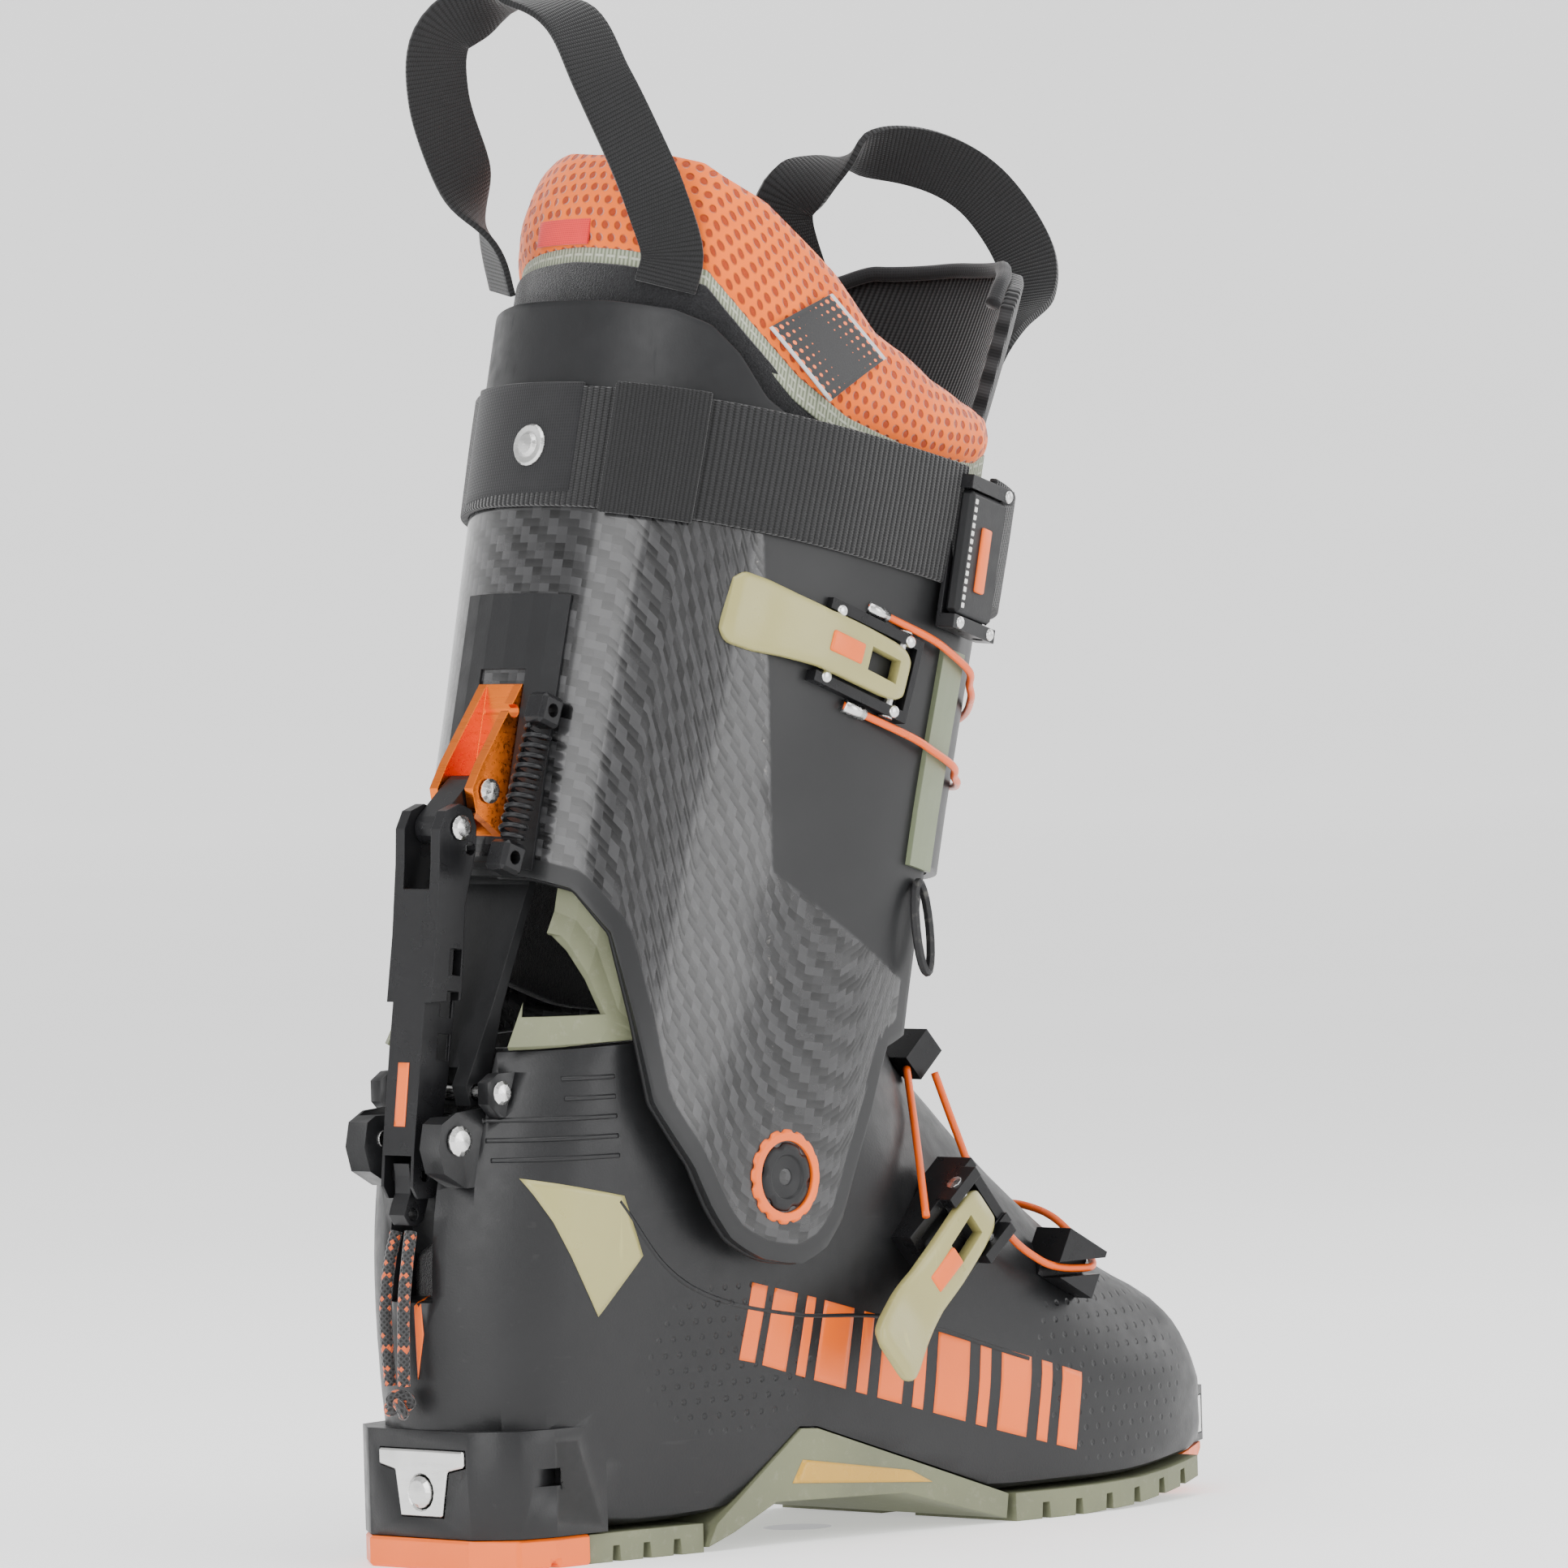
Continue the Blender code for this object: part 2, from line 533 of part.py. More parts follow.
# ==== steel fittings ==========================================================================
insert = t_prism("heel_tech_insert", 0.0, -0.9, 4.1, mat="steel")
cut(insert, cyl("cut_insert_screw", 5.0, 20, (0, -1.2, 22), (1, 0, 0), cutter=True, seg=16))
bevel_mod(insert, 0.5)
turned("heel_insert_screw", [(0, 1.2), (3.4, 1.0), (4.6, 0.0), (4.6, -3.4), (2.0, -5.0), (0, -5.0)],
       (-1.2, -1.2, 22), (-1, 0, 0), "steel", seg=16)
toe_insert = box("toe_tech_insert", (11.2, 60, 11.0), (295.0, 0, 22.5), "steel")
cut(toe_insert, prism("cut_toe_outline", TOE_PLAN, 0, 60, "XY", cutter=True), "INTERSECT")
for side in (-1, 1):
    cut(toe_insert, cyl("cut_toe_socket_%d" % side, 3.6, 9, (295.0, side * 22.8, 22.5), (0, -side, 0), cutter=True, seg=12, r2=1.2))

# ==== liner foot and insole ===================================================================
liner_foot = loft("liner_foot", shell_rings(SHELL_WALL + 1.3, heel=7.2, toe=8.4, n=(3, 2, 3)), "liner_black")
cut(liner_foot, loft("cut_foot_room", shell_rings(SHELL_WALL + 5.6, heel=7.2, toe=13.0, top=8.0, n=(2, 2, 3)), cutter=True))
ins_rings = []
for x, k in ((36, 0.66), (46, 0.9), (75, 1), (112, 1), (150, 1), (190, 1), (215, 1), (240, 0.97), (258, 0.85), (268, 0.6)):
    hw = (half_width(x, 18) - SHELL_WALL - 8.2) * k
    ins_rings.append([(x, -hw, 25.2), (x, -hw, 27.2), (x, hw, 27.2), (x, hw, 25.2)])
insole = loft("insole", ins_rings, "liner_black")

# ==== ankle gaiters (soft, between shell and cuff) ============================================
GA_BOTTOM = [(15.5, -25.0, 147.8), (20, -31, 147.9), (28, -36, 148.0), (38, -39, 148.2), (50, -41, 148.4)]


def gaiter_grid(sign):
    g = []
    ths = [-158, -150, -142, -132, -122]
    for low, th in zip(GA_BOTTOM, ths):
        low = np.array([low[0], low[1], low[2]])
        w_low = float((low - P0) @ S)
        w_mid = max(w_low + 4, cuff_bottom(th) - 7)
        mid, up = section(th, w_mid, -CUFF_WALL - 1.3), section(th, w_mid + 17, -CUFF_WALL - 1.3)
        col = []
        for t in np.linspace(0, 1, 6):
            p = low * (1 - t / 0.6) + mid * (t / 0.6) if t < 0.6 else mid * (1 - (t - 0.6) / 0.4) + up * ((t - 0.6) / 0.4)
            col.append((p[0], p[1] * (1 if sign < 0 else -1), p[2]))
        g.append(col)
    return g


for side, sign in (("lateral", -1), ("medial", 1)):
    g = gaiter_grid(sign)
    ob = sheet("gaiter_" + side, g, 2.2, "olive_rubber", flip=(sign < 0))
    win = prism("cut_window_" + side, [(21, 156), (31, 180.5), (36, 178.5), (42, 156)], -60 if sign < 0 else 10,
                -10 if sign < 0 else 60, cutter=True)
    cut(ob, win)

# throat gaiter: fills the front between the shell's rim and the cuff
tg = []
for th in np.linspace(-46, 46, 9):
    col = []
    s, c = math.sin(math.radians(th)), math.cos(math.radians(th))
    low = np.array([119 + 55.5 * abs(c) ** 1.0, 38.0 * math.copysign(abs(s) ** 0.85, s), 153.6])
    up = section(th, 112, -CUFF_WALL - 5.2)
    for t in np.linspace(0, 1, 5):
        col.append(low * (1 - t) + up * t)
    tg.append(col)
throat = sheet("throat_gaiter", tg, 1.8, "rubber_black", flip=True)

# ==== cuff ====================================================================================
ths = list(np.linspace(LATERAL_EDGE, FLAP_END, 37))
tuck = table((-300, 0.0), (-345, 0.0), (-405, -CUFF_WALL - 0.9), (-440, -CUFF_WALL - 0.9))
cuff = sheet("cuff_shell", grid(ths, cuff_bottom, lambda t: 206.0, 6, tuck), CUFF_WALL, "cuff_carbon", origin=PIVOT)
cut(cuff, cyl("cut_cuff_bore", 6.4, 130, PIVOT, cutter=True))

spoiler_top = table(*both_sides([(-180, 239), (-165, 239), (-148, 238), (-138, 235), (-130, 228), (-122, 217), (-114, 212)]))
sheet("rear_spoiler", grid(list(np.linspace(-114, -246, 15)), lambda t: 206.5, spoiler_top, 3), CUFF_WALL,
      "plastic_black", origin=PIVOT)

spine = sheet("rear_spine_plate", grid(list(np.linspace(-163.5, -196.5, 7)), lambda t: 73.0, lambda t: 153.0, 4, GAP + 3.4),
              3.4, "plastic_black", origin=PIVOT)
cut(spine, box("cut_spine_slot", (30, 18.6, 56), tuple(L2W(-84, 0, 103)), rot=SHAFT, cutter=True))

# ==== walk mechanism ==========================================================================
def rear_x(z, off=0.0):
    """x of the cuff's rear line at height z."""
    u = CUFF_UC - CUFF_A - off
    w = (z - PIVOT[2] - F[2] * u) / S[2]
    return PIVOT[0] + F[0] * u + S[0] * w


BR = [(rear_x(250, GAP) - 0.1, 250), (rear_x(250, GAP) - 3.2, 250), (24, 228), (19.8, 221), (21, 214), (26, 210.5), (rear_x(206.5, GAP) - 2, 206.5),
      (rear_x(206.5, GAP) - 0.1, 206.5)]
bracket = prism("walk_bracket", BR, -9, 9, mat="orange_metal", origin=PIVOT)
inner = [(rear_x(262) - 3.6, 262), (0, 262), (0, 200), (rear_x(200) - 3.6, 200)]
cut(bracket, prism("cut_bracket_slot", inner, -5.6, 5.6, cutter=True))
cut(bracket, cyl("cut_pin_a_bore", 2.55, 60, (PIN_A[0], 0, PIN_A[1]), cutter=True, seg=12))
cut(bracket, cyl("cut_spring_pin_bore", 2.0, 30, (36.8, -10, 242.5), cutter=True, seg=10))
bevel_mod(bracket, 0.5)

PIN = [(0, 0.0), (2.6, 0.5), (3.7, 1.6), (3.7, 2.2), (2.25, 2.2)]


def pin(name, x, z, half, mat="steel", origin=None, r=2.25, head=3.6, yc=0.0, seg=14):
    """Turned cross pin along Y with a domed head at each end."""
    prof = [(0, half + 1.6), (head * 0.7, half + 1.2), (head, half + 0.5), (head, half), (r, half), (r, -half), (head, -half),
            (head, -half - 0.5), (head * 0.7, -half - 1.2), (0, -half - 1.6)]
    return turned(name, prof, (x, yc, z), (0, 1, 0), mat, seg=seg)


pin("bracket_pin", PIN_A[0], PIN_A[1], 9.4)
# link between the bracket's cheeks
ax, az = PIN_A
bx, bz = PIN_B
d = np.array([bx - ax, bz - az])
d /= np.linalg.norm(d)
nrm = np.array([-d[1], d[0]])
LINK = []
for k in range(8):
    a = math.pi / 2 + math.pi * k / 7
    LINK.append(tuple(np.array([ax, az]) + 4.5 * (d * math.cos(a) + nrm * math.sin(a))))
for k in range(8):
    a = -math.pi / 2 + math.pi * k / 7
    LINK.append(tuple(np.array([bx, bz]) + 4.5 * (d * math.cos(a) + nrm * math.sin(a))))
link_ob = prism("walk_link", LINK, -5.0, 5.0, mat="metal_black", origin=(ax, 0, az))
cut(link_ob, cyl("cut_link_bore_a", 2.55, 60, (ax, 0, az), cutter=True, seg=12))
cut(link_ob, cyl("cut_link_bore_b", 2.55, 60, (bx, 0, bz), cutter=True, seg=12))

pin("link_pin", bx, bz, 9.6)
LEVER = [(9.2, 215), (14.4, 216.8), (19, 215), (20.8, 210), (20.2, 203), (18, 196), (15.5, 188), (13.5, 165), (9.5, 140), (6.5, 126),
         (5.5, 108), (2.5, 105.5), (-3.5, 105.5), (-5.5, 109), (-4.5, 120), (-0.5, 150), (4.0, 180), (6.0, 200), (6.5, 210)]
lever = prism("walk_lever", LEVER, -9.2, 9.2, mat="metal_black", origin=(bx, 0, bz))
LEVER_IN = [(-5, 230), (40, 230), (40, 95), (-20, 95), (-20, 117), (-1.2, 118), (2.5, 150), (7.0, 180), (8.2, 193), (-5, 193)]
cut(lever, prism("cut_lever_channel", LEVER_IN, -5.5, 5.5, cutter=True))
for side in (-1, 1):
    cut(lever, box("cut_lever_side_%d" % side, (40, 3.2, 62), (4, side * 8.2, 130), cutter=True))
cut(lever, cyl("cut_lever_bore_b", 2.55, 60, (bx, 0, bz), cutter=True, seg=12))
cut(lever, cyl("cut_lever_latch_bore", 1.9, 60, (LATCH_PIN[0], 0, LATCH_PIN[1]), cutter=True, seg=10))
for k, z in enumerate((148, 160, 172)):
    x = float(np.interp(z, [120, 200], [2.5, 13.5]))
    cut(lever, box("cut_lever_slot_%d" % k, (4.5, 40, 7.5), (x + 1.5, 0, z), cutter=True,
                   rot=Matrix.Rotation(math.radians(8), 3, "Y")))
LATCH = [(-3.6, 115.5), (3.2, 115.5), (4.6, 112), (3.4, 104.5), (1.6, 99.5), (-1, 97.5), (-4.2, 98.0), (-6.0, 101), (-4.9, 104), (-3.3, 107), (-3.3, 112)]
latch = prism("latch", LATCH, -3.2, 3.2, mat="metal_black", origin=(LATCH_PIN[0], 0, LATCH_PIN[1]))
cut(latch, cyl("cut_latch_bore", 1.9, 60, (LATCH_PIN[0], 0, LATCH_PIN[1]), cutter=True, seg=10))
cut(latch, cyl("cut_latch_eye", 1.9, 60, (-2.4, 0, 101), cutter=True, seg=10))
# stub pins of the shell's ears: the lever's foot lies between them
for side, s in (("lateral", -1), ("medial", 1)):
    turned("anchor_pin_" + side, [(0, 5.6), (3.0, 5.2), (4.4, 4.4), (4.4, 3.6), (2.6, 3.6), (2.6, -5.4), (0, -5.4)],
           (ANCHOR[0], s * 16.2, ANCHOR[1]), (0, s, 0), "steel", seg=14)

# hinged rear plate
px, pz = PLATE_PIN
PLATE = [(px - 4, pz + 2), (px - 2.5, pz - 3.8), (px + 2.5, pz - 3.8), (px + 4.2, pz), (23.6, 158), (38.4, 193), (41.6, 207), (38.8, 207.4),
         (35.5, 193), (19.4, 158)]
plate = prism("rear_plate", PLATE, -14.5, 14.5, mat="plastic_black", origin=(px, 0, pz))
cut(plate, cyl("cut_plate_pin", 2.5, 60, (px, 0, pz), cutter=True, seg=12))
cut(plate, box("cut_plate_relief", (10, 17, 14), (px - 4.6, 0, pz), cutter=True))
pin("plate_pin", px, pz, 24.8, r=2.1, head=3.5, seg=12)

# coil spring on the lateral side
TOP_BLOCK, LOW_BLOCK = (36.2, SPRING_Y, 242.5), (19.8, SPRING_Y, 201.4)
sd = np.array(LOW_BLOCK) - np.array(TOP_BLOCK)
slen = np.linalg.norm(sd)
sd /= slen
rot_s = frame(tuple(np.cross(YAX, sd)), tuple(YAX), tuple(sd))
up_block = box("spring_block_upper", (8.4, 8.0, 9.0), TOP_BLOCK, "metal_black", rot=rot_s, origin=TOP_BLOCK, bevel=1.2)
low_block = box("spring_block_lower", (8.4, 8.0, 9.0), LOW_BLOCK, "metal_black", rot=rot_s, origin=(bx, 0, bz), bevel=1.2)
for ob, c, r in ((up_block, TOP_BLOCK, 2.0), (low_block, LOW_BLOCK, 2.0)):
    cut(ob, cyl("cut_" + ob.name, r, 30, c, cutter=True, seg=10))
cut(lever, cyl("cut_lever_spring_bore", 2.0, 40, (19.8 - 1.6, -20, 204.0), cutter=True, seg=10))
turns, per = 11, 8
e1, e2 = np.cross(YAX, sd), YAX
hp = []
a0, a1 = 5.6, slen - 5.6
for i in range(turns * per + 1):
    t = i / (turns * per)
    a = 2 * math.pi * turns * t
    hp.append(np.array(TOP_BLOCK) + sd * (a0 + (a1 - a0) * t) + 3.5 * (math.cos(a) * e1 + math.sin(a) * e2))
tube("coil_spring", hp, 0.8, "metal_black", origin=TOP_BLOCK, res=0)

# pull cord: two strands and the bottom knot
tube("pull_cord_lateral", smooth_path([(-3.4, -3.0, 96.2), (-5.6, -3.6, 88), (-7.6, -3.8, 76), (-7.8, -3.4, 64), (-7.5, -2.8, 52.6)], 12), 1.8,
     "cord", origin=(-2.4, 0, 101))
tube("pull_cord_medial", smooth_path([(-3.4, 3.0, 96.2), (-5.6, 3.6, 88), (-7.6, 3.8, 76), (-7.8, 3.4, 64), (-7.5, 2.8, 52.6)], 12), 1.8,
     "cord", origin=(-2.4, 0, 101))
bm = bmesh.new()
bmesh.ops.create_icosphere(bm, subdivisions=2, radius=1.0, matrix=Matrix.Translation((-7.3, 0, 47.4)) @ Matrix.Diagonal((4.4, 5.6, 4.8, 1)))
finish(bm, "pull_cord_knot", "cord", (-2.4, 0, 101), smooth=60)

# ==== pivots ==================================================================================
for side, s in (("lateral", -1), ("medial", 1)):
    turned("pivot_bolt_" + side, [(0, 4.0), (8.6, 4.0), (9.9, 3.2), (9.9, 0.35), (6.0, 0.35), (6.0, -10.6), (0, -10.6)],
           (PIVOT[0], s * 52.8, PIVOT[2]), (0, s, 0), "plastic_black", seg=24)
    turned("pivot_ring_" + side, [(10.3, 4.0), (12.6, 4.2), (13.6, 3.2), (13.6, 0.5), (10.3, 0.5), (10.3, 4.0)],
           (PIVOT[0], s * 52.8, PIVOT[2]), (0, s, 0), "orange_plastic", seg=24)

# ==== upper buckle, rail, cable ===============================================================
HU = (10.5, 148.5)   # hinge (u, w) of the upper buckle lever


def rect_ring(c, ey, ez, hy, hz, r=0.9):
    """Eight-point section with cut corners: half sizes hy along ey and hz along ez."""
    out = []
    for sy, sz, k in ((1, 1, 0), (1, 1, 1), (-1, 1, 1), (-1, 1, 0), (-1, -1, 0), (-1, -1, 1), (1, -1, 1), (1, -1, 0)):
        y, z = (hy, hz - r) if k == 0 else (hy - r, hz)
        out.append(np.array(c) + np.array(ey) * sy * y + np.array(ez) * sz * z)
    return out


def lever_loft(name, stations, to_world, ez, mat, origin):
    rings = []
    pts = [np.array(to_world(*s[:2])) for s in stations]
    for i, s in enumerate(stations):
        t = pts[min(i + 1, len(pts) - 1)] - pts[max(i - 1, 0)]
        t /= np.linalg.norm(t)
        n = np.cross(ez, t)
        rings.append(rect_ring(pts[i], n, ez, s[2] / 2, s[3] / 2))
    return loft(name, rings, mat, origin, smooth=30)


# base block on the cuff, then frame, lever
TILT = math.radians(7.5)      # the buckle slants more than the shaft's square
FB = F * math.cos(TILT) - S * math.sin(TILT)
SB = F * math.sin(TILT) + S * math.cos(TILT)
UBF = frame(FB, YAX, SB)
hu_w = L2W(HU[0], -60.6, HU[1])


def UB(u, y, w):
    """Upper buckle frame: u and w as in the shaft, turned about the hinge."""
    p = hu_w + FB * (u - HU[0]) + SB * (w - HU[1])
    return np.array([p[0], y, p[2]])


fr = box("upper_buckle_frame", (39, 4.6, 25), tuple(UB(-2, -60.2, HU[1])), "metal_black", rot=UBF, origin=PIVOT)
cut(fr, box("cut_frame_u", (39, 20, 18.6), tuple(UB(-4.2, -60, HU[1])), rot=UBF, cutter=True))
cut(fr, cyl("cut_frame_pin", 1.75, 60, tuple(hu_w), tuple(SB), cutter=True, seg=10))
lv = lever_loft("upper_buckle_lever",
                [(13.9, -61.5, 3.6, 14.5), (5, -62.6, 4.2, 16.5), (-8, -63.2, 4.2, 17), (-22, -62.6, 4.0, 17), (-33, -59.4, 4.0, 19), (-42, -55.6, 4.2, 21.5),
                 (-50, -53.0, 4.4, 21.5), (-52.5, -52.6, 3.2, 20)],
                lambda u, y: UB(u, y, HU[1]), SB, "khaki", tuple(hu_w))
cut(lv, box("cut_lever_slot_up", (13, 30, 7), tuple(UB(2, -62, HU[1])), rot=UBF, cutter=True))
cut(lv, cyl("cut_lever_pin_up", 1.75, 60, tuple(hu_w), tuple(SB), cutter=True, seg=10))
turned("upper_buckle_pin", [(0, 13.3), (2.4, 13.1), (2.4, 12.7), (1.5, 12.7), (1.5, -12.7), (2.4, -12.7), (2.4, -13.1), (0, -13.3)],
       tuple(hu_w), tuple(SB), "steel", seg=10)

rail = sheet("buckle_rail", grid([-70.5, -67.5, -64.5, -61.5], lambda t: 97.0, lambda t: 161.0, 4, 4.6), 4.0, "olive_rubber", origin=PIVOT, flip=True)


def surf(th, w, off):
    return section(th, w, off)


cab_up = [UB(-6, -60.4, 163.4), UB(3, -60.8, 163.4), surf(-78, 161.5, 6.3), surf(-71, 159.5, 6.4), surf(-61, 156.5, 6.3), surf(-53, 154, 3.4), surf(-44, 151.5, 2.2), surf(-22, 149, 2.0),
          surf(-4, 145, 2.0), surf(3, 138.5, 2.0), surf(-4, 132, 2.0), surf(-22, 128.5, 2.0), surf(-44, 126.5, 2.2), surf(-53, 127, 3.4), surf(-61, 128.5, 6.3),
          surf(-71, 130.5, 6.4), surf(-78, 132.2, 6.3), UB(3, -60.8, 133.6), UB(-6, -60.4, 133.6)]
tube("upper_cable", smooth_path(cab_up, 46), 1.15, "cable_orange", origin=PIVOT, res=1)
grown_cuff = loft("cut_grown_cuff", [[section(t, w, GAP) for t in range(0, -360, -9)] for w in (-40, 0, 60, 100, 150, 200, 230)], cutter=True)
catch = box("medial_catch", (9, 15, 26), tuple(section(15, 138, 2.6)), "metal_black", rot=SHAFT @ Matrix.Rotation(math.radians(10), 3, "Z"), origin=PIVOT)
cut(catch, grown_cuff)
ring_top = np.array(section(-66, 93.5, 3.6))
rp = []
for k in range(20):
    a = 2 * math.pi * k / 20
    rp.append(ring_top + np.array([0, 0, -1]) * (13.5 - 13.0 * math.cos(a)) + np.array([0.75, 0.25, 0]) * 5.5 * math.sin(a)
              + np.array([0, -1, 0]) * (1.0 + 2.5 * (1 - math.cos(a)) / 2))
tube("ring_pull", rp, 1.4, "rubber_black", origin=tuple(ring_top), res=1, closed=True)

# ==== lower buckle, cables ====================================================================
D = np.array([-0.77, 0, -0.638])
A2 = np.array([-0.638, 0, 0.77])
HL = np.array([175.0, -51.5, 90.8])
LOWF = frame(tuple(D), tuple(A2), (0, 1, 0))


def LB(x, y, out):
    """Lower buckle frame: x towards the tip, y across, out away from the boot."""
    return HL + D * x + A2 * y + np.array([0, -1, 0]) * out


lbase = box("lower_buckle_base", (34, 25, 14), tuple(LB(6, 0, -8.2)), "metal_black", rot=LOWF)
cut(lbase, grown_shell)
cheek = box("add_low_cheeks", (14, 25.4, 6), tuple(LB(0, 0, 0.5)), rot=LOWF, cutter=True)
cut(lbase, cheek, "UNION")
cut(lbase, box("cut_low_u", (40, 18.8, 12), tuple(LB(0, 0, 3.7)), rot=LOWF, cutter=True))
cut(lbase, box("cut_low_pocket", (13.3, 18.2, 10.2), tuple(LB(-1, 0, -1.8)), rot=LOWF, cutter=True))
cut(lbase, cyl("cut_low_pin", 1.75, 60, tuple(HL), tuple(A2), cutter=True, seg=10))
llv = lever_loft("lower_buckle_lever",
                 [(-4.4, 0.3, 3.6, 14.5), (6, 1.6, 4.2, 16.5), (20, 3.2, 4.2, 17), (32, 3.8, 4.0, 17), (42, 5.2, 4.0, 19.5), (54, 9.0, 4.4, 21.5), (59, 10.8, 4.2, 21), (61, 11.5, 3.2, 19)],
                 lambda x, o: LB(x, 0, o), A2, "khaki", tuple(HL))
cut(llv, box("cut_lever_slot_low", (13, 7, 30), tuple(LB(10, 0, 1)), rot=LOWF, cutter=True))
cut(llv, cyl("cut_lever_pin_low", 1.75, 60, tuple(HL), tuple(A2), cutter=True, seg=10))
turned("lower_buckle_pin", [(0, 13.3), (2.4, 13.1), (2.4, 12.7), (1.5, 12.7), (1.5, -12.7), (2.4, -12.7), (2.4, -13.1), (0, -13.3)],
       tuple(HL), tuple(A2), "steel", seg=10)

guide = box("throat_guide", (9, 18, 12), (186.5, -12, 136.5), "metal_black", rot=Matrix.Rotation(math.radians(48), 3, "Y"))
cut(guide, grown_shell)
cbr = box("cable_bracket", (17, 14, 15), (222, -41.5, 73.5), "metal_black", rot=Matrix.Rotation(math.radians(28), 3, "Y"))
cut(cbr, box("cut_cable_groove", (60, 10, 4.6), (222, -46.2, 72.2), cutter=True))
cut(cbr, grown_shell)
a_end, b_end = np.array(LB(16, 14.6, 1.5)), np.array([180.6, -19.5, 132.6])
tube("instep_cable_upper", [tuple(a_end * (1 - k / 9) + b_end * (k / 9) + np.array([0, 0, 1.2]) * math.sin(math.pi * k / 9)) for k in range(10)],
     1.15, "cable_orange", res=1)
run = [(187.6, -24.0, 131), (189.4, -30.6, 113.5), (192.6, -37.0, 95), (199, -42.4, 82.5), (206.5, -44.8, 76.2), (213.0, -46.2, 73.2), (222, -46.3, 72.0), (231, -44.3, 72.3),
       (237.8, -34, 76.6), (242.5, -18, 84.6), (243, -5, 88.2), (238, 7, 90.2), (226, 13, 99.0), (210, 11, 112.6), (199, 3, 125.6), (195.5, -4.5, 132.0)]
tube("instep_cable_lower", smooth_path(run, 34), 1.15, "cable_orange", res=1)

# ==== power strap =============================================================================
S_LO, S_HI = STRAP_W - STRAP_H / 2, STRAP_W + STRAP_H / 2
strap_off = GAP + STRAP_T
sth = list(np.linspace(-73, -421, 38))
strap = sheet("power_strap", grid(sth, lambda t: S_LO, lambda t: S_HI, 2, strap_off), STRAP_T, "webbing", origin=PIVOT)
keeper = sheet("strap_keeper", grid(list(np.linspace(-135, -159, 6)), lambda t: S_LO - 1.5, lambda t: S_HI + 1.5, 2, strap_off + GAP + 1.8), 1.8,
               "webbing", origin=PIVOT)
rv = section(-180, STRAP_W, strap_off + GAP + 1.8 + GAP)
turned("strap_rivet", [(0, 2.4), (2.8, 2.2), (3.6, 1.2), (4.0, 1.2), (5.6, 1.3), (6.2, 0.6), (6.2, 0.0), (0, 0.0)], tuple(rv), tuple(-F), "steel", seg=20)

# cam buckle on the front of the strap
CB_TH = -67.0
cb = np.array(section(CB_TH, 188, strap_off))
tan = np.array(section(CB_TH + 2, 188, strap_off)) - np.array(section(CB_TH - 2, 188, strap_off))
tan = tan - S * tan.dot(S)
tan /= np.linalg.norm(tan)
nout = np.cross(tan, S)
if nout.dot(cb - L2W(0, 0, 188)) < 0:
    nout = -nout
CBF = frame(tuple(nout), tuple(np.cross(S, nout)), tuple(S))


def CB(n, t, w):
    return cb + nout * n + np.cross(S, nout) * t + S * w


frame_ob = box("cam_buckle_frame", (6.0, 25, 45), tuple(CB(3.6, 0, 0)), "metal_black", rot=CBF, origin=PIVOT)
cut(frame_ob, box("cut_cam_u", (20, 40, 37.0), tuple(CB(12.0, 0, 0)), rot=CBF, cutter=True))
cut(frame_ob, cyl("cut_cam_pin", 1.75, 70, tuple(CB(4.4, 6.5, 0)), tuple(S), cutter=True, seg=10))
cam = box("cam_lever", (4.6, 21, 36.2), tuple(CB(4.8, -1.6, 0)), "plastic_black", rot=CBF, origin=tuple(CB(4.4, 6.5, 0)), bevel=1.2)
cut(cam, cyl("cut_cam_lever_pin", 1.75, 70, tuple(CB(4.4, 6.5, 0)), tuple(S), cutter=True, seg=10))

# ==== liner shaft, collar, tongue, loops ======================================================
L_OFF = -CUFF_WALL - 1.0
BIND = [(-180, 255), (-165, 255), (-152, 250), (-140, 237), (-128, 221), (-112, 211), (-95, 208), (-78, 209), (-64, 215), (-52, 224)]
COLL = [(-180, 281), (-160, 280), (-140, 274), (-120, 263), (-100, 251), (-84, 242), (-70, 236), (-60, 232), (-52, 229.5)]
bind_top = table(*both_sides(BIND))
coll_top = table(*both_sides(COLL))


lth = list(np.linspace(-52, -308, 22))
liner_bottom = table(*both_sides([(-180, 80), (-150, 78), (-130, 62), (-110, 52), (-90, 48), (-70, 52), (-52, 62)]))
liner_off = table(*both_sides([(-180, -8.3), (-105, -8.3), (-88, -9.6), (-52, -9.8)]))
sheet("liner_shaft", grid(lth, liner_bottom, lambda t: max(coll_top(t), bind_top(t) + 3.0), 6, liner_off), 4.6, "liner_black", origin=PIVOT)
tth = list(np.linspace(-47, 47, 10))
tongue_top = table((-50, 262), (-42, 274), (-28, 281), (0, 283), (28, 281), (42, 274), (50, 262))
tongue_off = table((98, -12.5), (130, -11.1), (200, -10.7), (232, -10.3), (262, -6.0), (285, -3.5))
tgrid = []
for th in tth:
    col = []
    for k in range(7):
        w = 98 + (tongue_top(th) - 98) * k / 6
        col.append(section(th, w, tongue_off(w)))
    tgrid.append(col)
sheet("liner_tongue", tgrid, 4.5, "liner_black", origin=PIVOT, flip=True)

